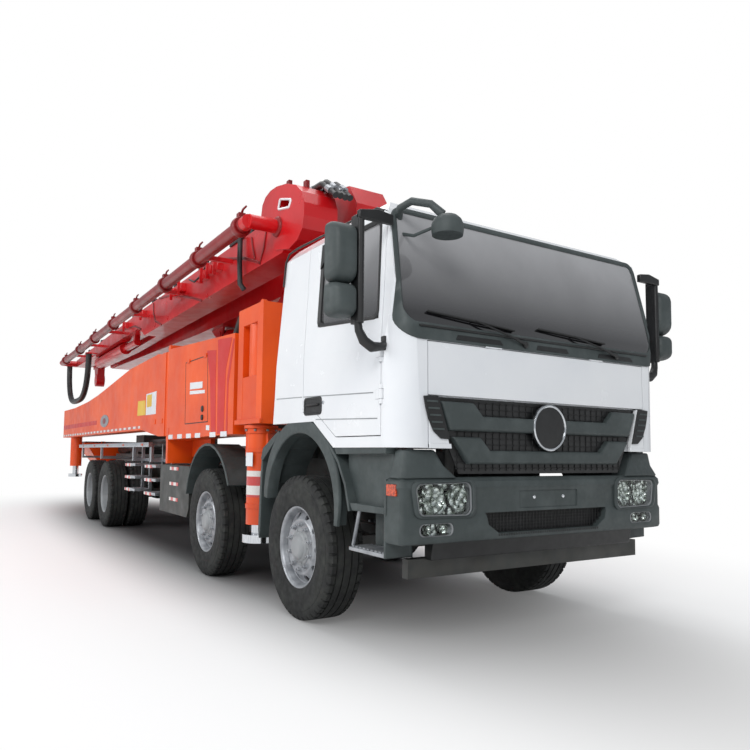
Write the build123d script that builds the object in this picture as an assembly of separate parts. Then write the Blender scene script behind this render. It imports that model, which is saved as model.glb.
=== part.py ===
from build123d import *
import os
from math import cos, hypot, radians, sin, tan

os.makedirs("parts", exist_ok=True)

# Lengths in millimetres. While modelling, x runs forward from the first axle, y to the left,
# z up from the ground. Every piece is moved at the end so that x = 0 is the middle of the length.
FRONT_FACE = 1400  # first axle to the bumper face
MIRROR_REACH = 1620  # first axle to the front of the kerb mirror
BOOM_TAIL = 12950  # first axle to the rear end of the folded boom
ORIGIN_X = (BOOM_TAIL - MIRROR_REACH) / 2
AXLES = (0, -2100, -7150, -8500)
HALF_WIDTH = 1250

# Wheels and axles
AXLE_Z = 540
TYRE_RADIUS = 540
TYRE_HALF = 150
SHOULDER_HALF = 122
BEAD_RADIUS = 290
BEAD_HALF = 112
FLANGE_RADIUS = 306
RIM_WALL = 12
FRONT_TRACK_Y = HALF_WIDTH - 170
TWIN_Y = HALF_WIDTH - 315
TWIN_SPACING = 330
KINGPIN_Y = FRONT_TRACK_Y - 140
KINGPIN_RADIUS = 30
SPINDLE_RADIUS = 40
TWIN_SPINDLE_RADIUS = 50
RUNNING_GAP = 0.5
HUB_RADIUS = 105
HAND_HOLES = 10

# Chassis
RAIL_OUTER_Y = 430
RAIL_INNER_Y = 350
RAIL_BOTTOM = 790
RAIL_TOP = 1060
RAIL_WALL = 10
RAIL_FRONT = 1100
RAIL_REAR = -10300
SUBFRAME_TOP = 1200
SPRING_YS = (440, 520)
SPRING_EYE = (800, 740)
SPRING_PIN = 16

# Cab
CAB_FRONT = 1390
CAB_REAR = -400
CAB_WALL = 60
CAB_CORNER = 190
DOOR_FRONT = 1190
DOOR_REAR = 130
DOOR_GAP = 6
DOOR_DEPTH_Y = HALF_WIDTH - 110
DOOR_HINGE_X = DOOR_FRONT + 3
DOOR_HINGE_ZS = (1620, 1880)
HINGE_KNUCKLE = 16
HINGE_PIN = 9
WINDSHIELD_HALF = HALF_WIDTH - 155
ROOF_TAPER = 45
FLAP_HALF = HALF_WIDTH - 210
FLAP_HINGE = (1382, 1950)
FLAP_KNUCKLE = (460, 540)
SKIN = 28
GRILLE_DEPTH = 50
GLASS_INSET = 18
GLASS = 6
SEAL_GAP = 0.3
BELT_Z = 1950
BUMPER_REAR = 1225
BUMPER_ZS = (650, 1110)
HEAD_YS = (HALF_WIDTH - 560, HALF_WIDTH - 110)
HEAD_ZS = (870, 1085)
FOG_YS = (HALF_WIDTH - 490, HALF_WIDTH - 170)
FOG_ZS = (740, 820)
STEP_XS = (850, 1235)
# Each grille bar: how far its ends stay inside the panel, its ends' heights and its middle's heights
GRILLE_BARS = (
    (49, (1585, 1603), (1570, 1590)), (134, (1488, 1570), (1432, 1505)),
    (174, (1352, 1455), (1318, 1395)), (204, (1215, 1300), (1150, 1262)),
)
CAB_BOTTOM = 1290
CAB_BOTTOM_REAR = 1480
CAB_FLOOR = CAB_BOTTOM + CAB_WALL
CAB_FLOOR_REAR = CAB_BOTTOM_REAR + CAB_WALL

# Boom lanes, from the middle to the right
ARM_1_HALF = 210
ARM_2_HALF = 200
CHEEK = 35
LANE_4 = (-480, -320)
LANE_5 = (-475, -325)
LANE_3 = (-880, -560)
PIPE_RADIUS = 67.5
PIPE_Y = 50 - HALF_WIDTH
HINGE_1 = (-1950, 3340)
HINGE_2 = (-12200, 3540)
HINGE_3 = (-1150, 3410)
HEAD_PLATE = [(-410, 210), (-380, 330), (-310, 390), (-190, 418), (-40, 412), (180, 365), (380, 285), (500, 185),
              (552, 70), (555, -50), (525, -160), (430, -240), (250, -280), (-50, -210), (-170, -10)]
HEAD_SLOT = [(10, 165), (250, 115), (300, 175), (50, 255)]
ARM_END = 100
HINGE_4 = (ARM_END - BOOM_TAIL, 3360)
HINGE_5 = (-2750, 3650)
TURRET_X = -2750
TURRET_Z = 1950
PIN_GAP = 0.5
LIFT_BASE = (-2900, 2550)
ARM_3_TIP_Z = 3290
HOSE_Y = (PIPE_Y + LANE_3[0]) / 2 + 5
HOSE_XS = (-12850, -10300)
HOSE_RADIUS = 60
HOSE_TOP = ARM_3_TIP_Z - 2
LIFT_EYE = (-4900, 2990)
LIFT_EYE_HALF = 75
LIFT_ROD = 70

# Outriggers
FRONT_LEG = (-950, HALF_WIDTH - 135)
SLIDE_ANGLE = 28
SLIDE_HALF = 125
SLIDE_GAP = 5
SLIDE_ZS = {-1: (1220, 1470), 1: (1540, 1790)}
SLIDE_INNER = -2080
SLEEVE_OUTER = -330
SLEEVE_INNER = SLIDE_INNER - 40
SLEEVE_WALL = 15
LEG_ROD = 70
FRONT_LEG_TOP = 2560
EAR_Z = 2595
EAR_RADIUS = 45
EAR_BORE = 25
REAR_ROD = 60
ROD_GAP = 0.4
HOUSING_REAR = -3430
DECK_HALF = HALF_WIDTH - 350
HOUSING_INNER = DECK_HALF + 20
REAR_PIVOT = (-3650, HALF_WIDTH - 150)
REAR_LEG_X = -11000
REAR_KNUCKLE = 130
REAR_PIN = 45
REAR_ARM_ZS = (1440, 2480)

# Fenders, hopper
FENDER_RADIUS = 715
FENDER_WALL = 22
FENDER_CENTRE = (120, 740)
STAY_Z = 1095
DECK_Z = 1190
HOPPER_X = -11375
HOPPER_TOP = 1420
HOPPER_BOTTOM = 700
HOPPER_WALL = 12
HOPPER_LENGTHS = (700, 1250)
HOPPER_WIDTHS = (900, 1900)
GRATE_HINGE_X = HOPPER_X + HOPPER_LENGTHS[1] / 2 + 40
GRATE_Z = HOPPER_TOP + 18
GRATE_BARS = 13
PUMP_Z = 1284
PUMP_RADIUS = 90


def block(xs, ys, zs):
    """A box between pairs of coordinates."""
    pairs = (xs, ys, zs)
    size = [high - low for low, high in pairs]
    middle = [(high + low) / 2 for low, high in pairs]
    return Pos(*middle) * Box(*size)


def side_plate(points, ys):
    """An outline of (x, z) points, extruded across the vehicle."""
    wire = Wire.make_polygon([(x, ys[0], z) for x, z in points])
    return extrude(Face(wire), amount=ys[1] - ys[0], dir=(0, 1, 0))


def plan_plate(points, zs):
    """An outline of (x, y) points, extruded upwards."""
    wire = Wire.make_polygon([(x, y, zs[0]) for x, y in points])
    return extrude(Face(wire), amount=zs[1] - zs[0], dir=(0, 0, 1))


def front_plate(points, xs):
    """An outline of (y, z) points, extruded forwards."""
    wire = Wire.make_polygon([(xs[0], y, z) for y, z in points])
    return extrude(Face(wire), amount=xs[1] - xs[0], dir=(1, 0, 0))


def rod(start, end, radius):
    """A round bar between two points."""
    line = Vector(*end) - Vector(*start)
    bar = Cylinder(radius, line.length, align=(Align.CENTER, Align.CENTER, Align.MIN))
    return Plane(origin=start, z_dir=line) * bar


def cross_bar(x, z, radius, ys):
    """A round bar that lies across the vehicle."""
    return rod((x, ys[0], z), (x, ys[1], z), radius)


def turned(points):
    """A profile of (y, radius) points, revolved about the y axis."""
    return revolve(Face(Wire.make_polygon([(0, y, r) for y, r in points])), Axis.Y)


def mirrored(shape):
    return mirror(shape, about=Plane.XZ)


def both_sides(shape):
    return shape + mirrored(shape)


def save(name, *shapes):
    """Writes one node; several shapes stay separate solids."""
    moved = [Pos(ORIGIN_X, 0, 0) * shape for shape in shapes]
    solid = moved[0] if len(moved) == 1 else Compound(children=moved)
    export_step(solid, f"parts/{name}.step")


# Wheels
def tyre():
    """Section from bead to bead: half width, radius."""
    half = [(BEAD_HALF, BEAD_RADIUS), (TYRE_HALF, 400), (146, 500), (SHOULDER_HALF, TYRE_RADIUS)]
    return turned([(-y, r) for y, r in half] + half[::-1])


def rim():
    bead = (BEAD_HALF + 6, BEAD_RADIUS)
    lip = [(bead[0], FLANGE_RADIUS), (bead[0] + RIM_WALL, FLANGE_RADIUS)]
    inner = (bead[0] + RIM_WALL, BEAD_RADIUS - RIM_WALL)
    half = [bead, *lip, inner]
    return turned(half + [(-y, r) for y, r in half[::-1]])


def steered_wheel():
    """Rim and tyre about the y axis, outer face towards +y."""
    barrel = BEAD_RADIUS - RIM_WALL
    disc = turned([(44, barrel + 2), (60, barrel + 2), (104, 205), (104, 60), (90, 60), (90, 199)])
    bore = SPINDLE_RADIUS + RUNNING_GAP
    hub = turned([(-30, bore), (-30, HUB_RADIUS), (92, HUB_RADIUS), (92, bore)])
    cap = turned([(90, 0), (90, 85), (140, 72), (150, 60), (150, 0)])
    hole = Pos(0, 0, 242) * Rot(90, 0, 0) * Cylinder(27, 200)
    holes = [Rot(0, 360 * n / HAND_HOLES, 0) * hole for n in range(HAND_HOLES)]
    return [rim() + (disc - holes) + hub + cap, tyre()]


def twin_wheel():
    """Two rims bolted disc to disc, with the hub through both."""
    barrel = BEAD_RADIUS - RIM_WALL
    half = TWIN_SPACING / 2
    bore = TWIN_SPINDLE_RADIUS + RUNNING_GAP
    collar = turned([(-45, barrel + 3), (45, barrel + 3), (45, barrel - 12), (-45, barrel - 12)])
    disc = turned([(-14, 80), (-14, barrel), (14, barrel), (14, 80)])
    hub = turned([(-150, bore), (-150, HUB_RADIUS), (190, HUB_RADIUS), (190, bore)])
    cap = turned([(188, 0), (188, 95), (205, 80), (205, 0)])
    hole = Pos(0, 0, 205) * Rot(90, 0, 0) * Cylinder(27, 200)
    holes = [Rot(0, 360 * n / HAND_HOLES, 0) * hole for n in range(HAND_HOLES)]
    rims = Pos(0, half, 0) * rim() + Pos(0, -half, 0) * rim()
    return [rims + collar + (disc - holes) + hub + cap, Pos(0, half, 0) * tyre(), Pos(0, -half, 0) * tyre()]


def place_wheel(solids, x, y, side):
    placed = [Pos(x, y, AXLE_Z) * solid for solid in solids]
    return placed if side > 0 else [mirrored(solid) for solid in placed]


def knuckle():
    """Left knuckle about its kingpin: lugs, kingpin, flange and spindle."""
    pin = Cylinder(KINGPIN_RADIUS, 224)
    reach = 220
    lugs = []
    for z in (92, -92):
        lugs.append(Pos(0, 0, z) * Cylinder(55, 40))
        lugs.append(block((-45, 45), (0, 90), (z - 20, z + 20)))
    flange = block((-60, 60), (70, 100), (-112, 112))
    spindle = rod((0, 90, 0), (0, reach, 0), SPINDLE_RADIUS)
    return pin + lugs + flange + spindle


def front_axle(x):
    """Forged beam with kingpin bosses, and a leaf spring on each side."""
    half = KINGPIN_Y - 40
    beam = block((x - 45, x + 45), (-half, half), (AXLE_Z - 60, AXLE_Z + 60))
    boss = Pos(x, KINGPIN_Y, AXLE_Z) * Cylinder(52, 136)
    bore = Pos(x, KINGPIN_Y, AXLE_Z) * Cylinder(KINGPIN_RADIUS + PIN_GAP, 200)
    top = AXLE_Z + 60
    eye, eye_z = SPRING_EYE
    upper = [(eye, eye_z + 12), (430, 690), (0, 668), (-430, 690), (-eye, eye_z + 12)]
    lower = [(-eye, eye_z - 12), (-430, 652), (-60, top), (60, top), (430, 652), (eye, eye_z - 12)]
    spring = side_plate([(x + dx, z) for dx, z in upper + lower], SPRING_YS)
    for side in (-1, 1):
        spring += cross_bar(x + side * eye, eye_z, SPRING_PIN + 14, SPRING_YS)
        spring -= cross_bar(x + side * eye, eye_z, SPRING_PIN + SEAL_GAP, (0, 1000))
    return beam + both_sides(boss - bore) + both_sides(spring) - both_sides(bore)


def drive_axle(x):
    inner, outer = TWIN_Y - 315, TWIN_Y + 180
    tube = cross_bar(x, AXLE_Z, 75, (-inner, inner))
    spindle = cross_bar(x, AXLE_Z, TWIN_SPINDLE_RADIUS, (-outer, outer))
    banjo = Pos(x, 0, AXLE_Z) * Rot(0, 90, 0) * Cylinder(190, 220)
    nose = rod((x, 0, AXLE_Z), (x + 320, 0, AXLE_Z + 40), 90)
    return tube + spindle + banjo + nose


def rear_bogie():
    """Two drive axles with a rocking spring on each side, clamped at its middle."""
    front, rear = AXLES[2], AXLES[3]
    middle = (front + rear) / 2
    seat = AXLE_Z + 70
    upper = [(front + 90, seat + 30), (middle + 200, 800), (middle - 200, 800), (rear - 90, seat + 30)]
    lower = [(rear - 90, seat - 10), (middle - 250, 690), (middle + 250, 690), (front + 90, seat - 10)]
    spring = side_plate(upper + lower, SPRING_YS)
    return drive_axle(front) + drive_axle(rear) + both_sides(spring)


# Chassis
def spring_bracket(x):
    """Fork on the rail's outside with the pin that a spring eye hangs on."""
    inner, outer = SPRING_YS
    cap = block((x - 45, x + 45), (RAIL_OUTER_Y - 5, outer + 14), (800, 880))
    plate = block((x - 35, x + 35), (outer + SEAL_GAP, outer + 14), (700, 810))
    plate += block((x - 35, x + 35), (RAIL_OUTER_Y - 5, inner - SEAL_GAP), (700, 810))
    return cap + plate + cross_bar(x, SPRING_EYE[1], SPRING_PIN, (RAIL_OUTER_Y, outer + 14))


def chassis_frame():
    """Two C rails joined by cross-members, with spring brackets, cab posts and the front bar."""
    outline = [
        (RAIL_OUTER_Y, RAIL_BOTTOM), (RAIL_OUTER_Y, RAIL_TOP), (RAIL_INNER_Y, RAIL_TOP),
        (RAIL_INNER_Y, RAIL_TOP - RAIL_WALL), (RAIL_OUTER_Y - RAIL_WALL, RAIL_TOP - RAIL_WALL),
        (RAIL_OUTER_Y - RAIL_WALL, RAIL_BOTTOM + RAIL_WALL), (RAIL_INNER_Y, RAIL_BOTTOM + RAIL_WALL),
        (RAIL_INNER_Y, RAIL_BOTTOM),
    ]
    frame = both_sides(front_plate(outline, (RAIL_REAR, RAIL_FRONT)))
    reach = RAIL_OUTER_Y - RAIL_WALL
    for x in (1040, -1500, -2900, -4600, -6300, -7825, -9300, -10200):
        frame += block((x - 40, x + 40), (-reach, reach), (RAIL_BOTTOM + 60, RAIL_TOP - 50))
    for axle in AXLES[:2]:
        for x in (axle - SPRING_EYE[0], axle + SPRING_EYE[0]):
            frame += both_sides(spring_bracket(x))
    middle = (AXLES[2] + AXLES[3]) / 2
    clamp = block((middle - 90, middle + 90), (RAIL_OUTER_Y - 5, SPRING_YS[1] + 20), (800, 900))
    frame += both_sides(clamp)
    for x, top in ((850, CAB_BOTTOM), (-250, CAB_BOTTOM_REAR)):
        frame += both_sides(block((x - 50, x + 50), (RAIL_INNER_Y, RAIL_OUTER_Y), (RAIL_TOP, top)))
    frame += block((RAIL_FRONT - 5, RAIL_FRONT + 60), (-DECK_HALF, DECK_HALF), (850, 1000))
    frame += both_sides(block((RAIL_FRONT + 50, FRONT_FACE - 60), (560, 640), (870, 980)))
    frame += both_sides(block((RAIL_FRONT - 40, RAIL_FRONT + 100), (380, 430), (490, 900)))
    bar_half = HALF_WIDTH - 160
    frame += block((RAIL_FRONT + 100, RAIL_FRONT + 160), (-bar_half, bar_half), (490, 610))
    return frame


def subframe():
    """Deck frame on the rails: beams, deck plate, boom pedestal and the box of the front slides."""
    zs = (RAIL_TOP, SUBFRAME_TOP)
    frame = both_sides(block((-10200, -420), (RAIL_INNER_Y, RAIL_OUTER_Y), zs))
    for x in (-700, -4300, -6000, -9000, -10100):
        frame += block((x - 60, x + 60), (-RAIL_OUTER_Y, RAIL_OUTER_Y), (RAIL_TOP + 10, SUBFRAME_TOP - 10))
    height = TURRET_Z - SUBFRAME_TOP + 60
    frame += Pos(TURRET_X, 0, TURRET_Z - height / 2) * Cylinder(430, height)
    frame += block((-4700, -2200), (-DECK_HALF, DECK_HALF), (DECK_Z, SUBFRAME_TOP + 20))
    slide_top = SLIDE_ZS[1][1]
    frame += both_sides(block((-1900, -1100), (RAIL_INNER_Y, RAIL_OUTER_Y), (SUBFRAME_TOP, slide_top)))
    frame += block((-2330, -1880), (-RAIL_OUTER_Y, RAIL_OUTER_Y), (SUBFRAME_TOP, slide_top - 20))
    for side in (-1, 1):
        frame += sleeve(side)
    for side in (-1, 1):
        frame -= slide_space(side)
    return frame


def slide_frame(side):
    """Plane of one diagonal slide: z runs outwards along it, starting at the leg."""
    angle = radians(SLIDE_ANGLE)
    low, high = SLIDE_ZS[side]
    outward = (sin(angle), side * cos(angle), 0)
    return Plane(origin=(FRONT_LEG[0], side * FRONT_LEG[1], (low + high) / 2), x_dir=(0, 0, 1), z_dir=outward)


def slide_box(side, half, start, end):
    box = Box(2 * half, 2 * half, end - start, align=(Align.CENTER, Align.CENTER, Align.MIN))
    return slide_frame(side) * (Pos(0, 0, start) * box)


def sleeve(side):
    return slide_box(side, SLIDE_HALF + SLIDE_GAP + SLEEVE_WALL, SLEEVE_INNER - SLEEVE_WALL, SLEEVE_OUTER)


def slide_space(side):
    return slide_box(side, SLIDE_HALF + SLIDE_GAP, SLEEVE_INNER, 0)


def engine_block():
    """Engine and gearbox as one plain block, on feet that reach the rails' webs."""
    shape = block((-200, 950), (-330, 330), (820, 1270))
    for x in (-100, 800):
        shape += block((x - 60, x + 60), (RAIL_WALL - RAIL_OUTER_Y, RAIL_OUTER_Y - RAIL_WALL), (870, 950))
    return shape


# Cab
def cab_form(inset):
    """The cab's closed outer form, moved inwards by inset: side, plan and front outlines together."""
    side = [
        (CAB_REAR, CAB_BOTTOM_REAR), (-375, 1700), (-280, 2860), (-180, 2925), (1090, 2885), (1190, 2800),
        (1380, BELT_Z), (CAB_FRONT, CAB_BOTTOM), (600, CAB_BOTTOM), (300, CAB_BOTTOM_REAR),
    ]
    top = HALF_WIDTH - ROOF_TAPER
    front = [(-HALF_WIDTH, 1200), (-HALF_WIDTH, BELT_Z), (-top, 2800), (85 - top, 2895), (305 - top, 2940)]
    front += [(-y, z) for y, z in front[::-1]]
    plan = Pos((CAB_FRONT + CAB_REAR) / 2, 0) * Rectangle(CAB_FRONT - CAB_REAR, 2 * HALF_WIDTH)
    plan = fillet(plan.vertices().filter_by(lambda v: v.X > 0), CAB_CORNER)
    plan = offset(plan, -inset, kind=Kind.INTERSECTION) if inset else plan
    shape = extrude(plan, amount=3200)
    for points, plane in ((side, Plane.XZ), (front, Plane.YZ)):
        outline = make_face(Polyline(*[(a, b) for a, b in points], close=True))
        outline = offset(outline, -inset, kind=Kind.INTERSECTION) if inset else outline
        shape &= extrude(plane * outline, amount=2500, both=True)
    return shape


def windshield_space(margin):
    points = [
        (1500, 1995 + margin), (1500, 2765 - margin), (880, 2765 - margin), (1040, 1995 + margin),
    ]
    return side_plate(points, (-WINDSHIELD_HALF + margin, WINDSHIELD_HALF - margin))


def door_space(margin):
    """The left door opening, as a prism through the side wall."""
    rear, front = DOOR_REAR + margin, DOOR_FRONT - margin
    points = [
        (rear, 1550 + margin), (320, 1550 + margin), (630, 1360 + margin), (front, 1360 + margin),
        (front, 2780), (front - 60, 2815 - margin), (rear, 2815 - margin),
    ]
    return side_plate(points, (DOOR_DEPTH_Y, HALF_WIDTH + 50))


def window_space(margin):
    points = [
        (320 + margin, 2170 + margin), (330 + margin, 2770 - margin),
        (1120 - margin, 2760 - margin), (1140 - margin, 2100 + margin),
    ]
    return side_plate(points, (DOOR_DEPTH_Y - 50, HALF_WIDTH + 60))


def flap_space(margin):
    """The front flap: the white panel under the windshield."""
    return block((1000, 1600), (-FLAP_HALF + margin, FLAP_HALF - margin), (1615, BELT_Z - margin))


def door_hinge(radius, z, low, high):
    """A stretch of a left door hinge, from low to high above its middle z."""
    return rod((DOOR_HINGE_X, HALF_WIDTH, z + low), (DOOR_HINGE_X, HALF_WIDTH, z + high), radius)


def cab_parts():
    """Shell, flap, left door, windshield and left door glass, all cut from one outer form."""
    outer = cab_form(0)
    wall = outer - cab_form(CAB_WALL)
    skin = outer - cab_form(SKIN)
    doors = both_sides(door_space(0))
    shell = wall - windshield_space(0) - doors
    recess = block((CAB_FRONT - GRILLE_DEPTH - SEAL_GAP, 1500), (-FLAP_HALF, FLAP_HALF), (1120, 1616))
    shell = shell - (skin & flap_space(0)) - recess
    flap = skin & flap_space(DOOR_GAP)
    door = (wall & door_space(DOOR_GAP)) - window_space(0)
    for z in DOOR_HINGE_ZS:
        leaf = block((DOOR_HINGE_X - 60, DOOR_HINGE_X), (HALF_WIDTH - 8, HALF_WIDTH + 5), (z - 30, z + 30))
        door -= door_hinge(HINGE_KNUCKLE + 5, z, -66, -30) + door_hinge(HINGE_KNUCKLE + 5, z, 30, 66)
        door += leaf + door_hinge(HINGE_KNUCKLE, z, -30, 30)
        door -= door_hinge(HINGE_PIN + PIN_GAP, z, -40, 40)
        pillar_cut = door_hinge(HINGE_KNUCKLE + 5, z, -32, 32)
        pillar_lugs = door_hinge(HINGE_KNUCKLE, z, -62, -32) + door_hinge(HINGE_KNUCKLE, z, 32, 62)
        shell -= both_sides(pillar_cut)
        shell += both_sides(pillar_lugs + door_hinge(HINGE_PIN, z, -40, 40))
    (x, z), (low, high) = FLAP_HINGE, FLAP_KNUCKLE
    flap -= both_sides(cross_bar(x, z, 9, (low - 32, low)) + cross_bar(x, z, 9, (high, high + 32)))
    flap += both_sides(block((x - 20, x - 2), FLAP_KNUCKLE, (z - 20, z - 2)) + cross_bar(x, z, 7, FLAP_KNUCKLE))
    flap -= both_sides(cross_bar(x, z, 3 + PIN_GAP, (low - 5, high + 5)))
    shell -= both_sides(cross_bar(x, z, 9, (low - 2, high + 2)))
    shell += both_sides(cross_bar(x, z, 7, (low - 30, low - 2)) + cross_bar(x, z, 7, (high + 2, high + 30)))
    shell += both_sides(cross_bar(x, z, 3, (low - 30, high + 30)))
    layer = cab_form(GLASS_INSET) - cab_form(GLASS_INSET + GLASS)
    windshield = layer & windshield_space(SEAL_GAP)
    door_glass = layer & window_space(SEAL_GAP)
    return shell, flap, door, windshield, door_glass


def grille():
    """Dark panel with four bars over it, lower in the middle, slanted corner pieces and a plain boss."""
    back = CAB_FRONT - GRILLE_DEPTH
    half = FLAP_HALF - 6
    panel = block((back, back + 14), (-half, half), (1125, 1610))
    for inset, edge_zs, middle_zs in GRILLE_BARS:
        reach = half - inset
        points = [(-reach, edge_zs[1]), (-280, middle_zs[1]), (280, middle_zs[1]), (reach, edge_zs[1])]
        points += [(reach, edge_zs[0]), (280, middle_zs[0]), (-280, middle_zs[0]), (-reach, edge_zs[0])]
        panel += front_plate(points, (back + 10, CAB_FRONT))
    corner = [(half, 1605), (half - 130, 1605), (half - 235, 1160), (half - 135, 1135), (half - 50, 1300), (half, 1460)]
    panel += both_sides(front_plate(corner, (back + 10, CAB_FRONT - 5)))
    return panel + rod((CAB_FRONT - 30, 0, 1440), (CAB_FRONT + 10, 0, 1440), 118)


def bumper():
    """Wrap-round bumper with lamp pockets and a slot, and the entry steps behind its ends."""
    outer = [(BUMPER_REAR, HALF_WIDTH - 5), (1365, HALF_WIDTH - 5), (1390, HALF_WIDTH - 30)]
    outer.append((FRONT_FACE, HALF_WIDTH - 150))
    inner = [(FRONT_FACE - 60, HALF_WIDTH - 190), (1330, HALF_WIDTH - 65), (BUMPER_REAR, HALF_WIDTH - 65)]
    points = outer + [(x, -y) for x, y in outer[::-1]] + [(x, -y) for x, y in inner[::-1]] + inner
    shape = plan_plate(points, BUMPER_ZS)
    shape -= block((1100, 1500), (-480, 480), (740, 880))
    shape -= both_sides(block((1230, 1500), HEAD_YS, HEAD_ZS))
    shape -= both_sides(block((1230, 1500), FOG_YS, FOG_ZS))
    liner = HALF_WIDTH - 210
    steps = block(STEP_XS, (liner, liner + 20), (620, 1270))
    steps += block((STEP_XS[1] - 20, STEP_XS[1]), (liner, HALF_WIDTH - 10), (620, 1100))
    for z in (620, 900):
        steps += block(STEP_XS, (liner, HALF_WIDTH - 15), (z, z + 25))
    return shape + both_sides(steps)


def lamps():
    """Head lamps and fog lamps that fill the bumper's pockets."""
    pieces = []
    for ys, zs in ((HEAD_YS, HEAD_ZS), (FOG_YS, FOG_ZS)):
        gap = SEAL_GAP
        lamp = block((FRONT_FACE - 55, FRONT_FACE - 12), (ys[0] + gap, ys[1] - gap), (zs[0] + gap, zs[1] - gap))
        pieces += [lamp, mirrored(lamp)]
    return pieces


def cab_interior():
    """Two seats on the raised floor, dashboard, steering column and wheel."""
    pieces = []
    for y in (-600, 600):
        base = block((-20, 290), (y - 200, y + 200), (CAB_FLOOR_REAR, 1700))
        cushion = block((0, 520), (y - 260, y + 260), (1700, 1820))
        back = side_plate([(0, 1820), (130, 1820), (0, 2450), (-100, 2450)], (y - 250, y + 250))
        pieces.append(base + cushion + back)
    front = 1290
    outline = [(1000, CAB_FLOOR), (front, CAB_FLOOR), (front, 1880), (1150, 1920), (950, 1830)]
    dash = side_plate(outline, (160 - HALF_WIDTH, HALF_WIDTH - 160))
    column = rod((1000, 600, 1780), (800, 600, 1980), 30)
    wheel_plane = Plane(origin=(790, 600, 1990), z_dir=(-1, 0, 1))
    wheel = wheel_plane * (Torus(210, 16) + Cylinder(40, 30) + Box(400, 30, 16))
    return [dash + column + wheel, *pieces]


def mirrors():
    """Two mirror housings a side on a bracket from the front pillar, and the kerb mirror."""
    xs, ys = (1150, 1290), (HALF_WIDTH + 140, HALF_WIDTH + 390)
    post_y, pillar_y = HALF_WIDTH + 160, HALF_WIDTH - 150
    side = block(xs, ys, (2300, 2640)) + block(xs, ys, (2060, 2280))
    side += rod((1225, post_y, 1890), (1225, post_y, 2730), 16)
    side += rod((1225, post_y, 2710), (1225, pillar_y, 2740), 14)
    side += rod((1225, post_y, 1910), (1225, pillar_y, 1990), 14)
    kerb = block((MIRROR_REACH - 110, MIRROR_REACH), (160 - HALF_WIDTH, 350 - HALF_WIDTH), (2570, 2700))
    kerb += rod((1150, 150 - HALF_WIDTH, 2640), (MIRROR_REACH - 50, 210 - HALF_WIDTH, 2660), 14)
    form = cab_form(0)
    return [side - form, mirrored(side) - form, kerb - form]


def arc_band(centre, radius, wall, start, end, steps=10):
    """Side outline of a curved sheet between two angles from the x axis."""
    points = []
    for r, order in ((radius, range(steps + 1)), (radius - wall, range(steps, -1, -1))):
        for n in order:
            angle = radians(start + (end - start) * n / steps)
            points.append((centre[0] + r * cos(angle), centre[1] + r * sin(angle)))
    return points


def fender(centre, radius, start, end, ys):
    """One curved sheet over a steered wheel, on an angled stay from the rail."""
    x, z = centre
    sheet = side_plate(arc_band(centre, radius, FENDER_WALL, start, end), ys)
    xs = (x - 30, x + 30)
    under = z + radius - FENDER_WALL
    stay = block(xs, (RAIL_INNER_Y, ys[0] + 5), (STAY_Z, STAY_Z + 30))
    stay += block(xs, (ys[0] - 20, ys[0] + 5), (STAY_Z, under))
    stay += block(xs, (ys[0] - 20, ys[0] + 60), (under - 25, under + 2))
    return sheet, stay


def fenders():
    """Wheel arches over the steered axles."""
    first, stay_1 = fender(FENDER_CENTRE, FENDER_RADIUS, 11, 158, (FRONT_TRACK_Y - 180, HALF_WIDTH - 5))
    riser = block((FENDER_CENTRE[0] - 30, FENDER_CENTRE[0] + 30), (RAIL_INNER_Y, RAIL_OUTER_Y), (RAIL_TOP, STAY_Z))
    second, stay_2 = fender((AXLES[1] + 60, 650), 690, 25, 168, (FRONT_TRACK_Y - 150, HALF_WIDTH - 10))
    stay_2 -= block((AXLES[1], AXLES[1] + 120), (0, RAIL_OUTER_Y), (RAIL_TOP, SUBFRAME_TOP))
    return both_sides(first + stay_1 + riser), both_sides(second + stay_2)


# Deck
def housings():
    """Orange side housings between the front legs and the rear legs' pivots, on feet from the deck."""
    points = [(-1300, 1420), (-1300, 2370), (HOUSING_REAR, 2490), (HOUSING_REAR, 1390)]
    side = side_plate(points, (HOUSING_INNER, HALF_WIDTH))
    feet = block((HOUSING_REAR, -2760), (DECK_HALF, HOUSING_INNER + 30), (DECK_Z, 1500))
    return both_sides(side + feet)


def pivot_posts():
    """Bearing brackets that carry the rear legs' vertical pins, on beams from the deck frame."""
    x, y = REAR_PIVOT
    xs = (x + 150, HOUSING_REAR)
    low, high = REAR_ARM_ZS
    post = block(xs, (DECK_HALF + 50, HALF_WIDTH), (1110, high + 60))
    post += block(xs, (RAIL_OUTER_Y, DECK_HALF + 60), (1110, DECK_Z))
    pin = Pos(x, y, (low + high) / 2 + 5) * Cylinder(REAR_PIN, high - low + 110)
    for z in (low - 30, high + 40):
        post += block((x, x + 160), (y - 110, y + 110), (z - 20, z + 20)) + Pos(x, y, z) * Cylinder(110, 40)
    return both_sides(post + pin)


def hopper_form(inset, top, longer=0, wider=0):
    """The hopper's tapering form, moved inwards by inset on each side, then made longer and wider."""
    sections = []
    for level, z in ((0, HOPPER_BOTTOM + inset), (1, top)):
        size = (HOPPER_LENGTHS[level] - 2 * inset + longer, HOPPER_WIDTHS[level] - 2 * inset + wider)
        sections.append(Pos(HOPPER_X, 0, z) * Rectangle(*size))
    return loft(sections)


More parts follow.
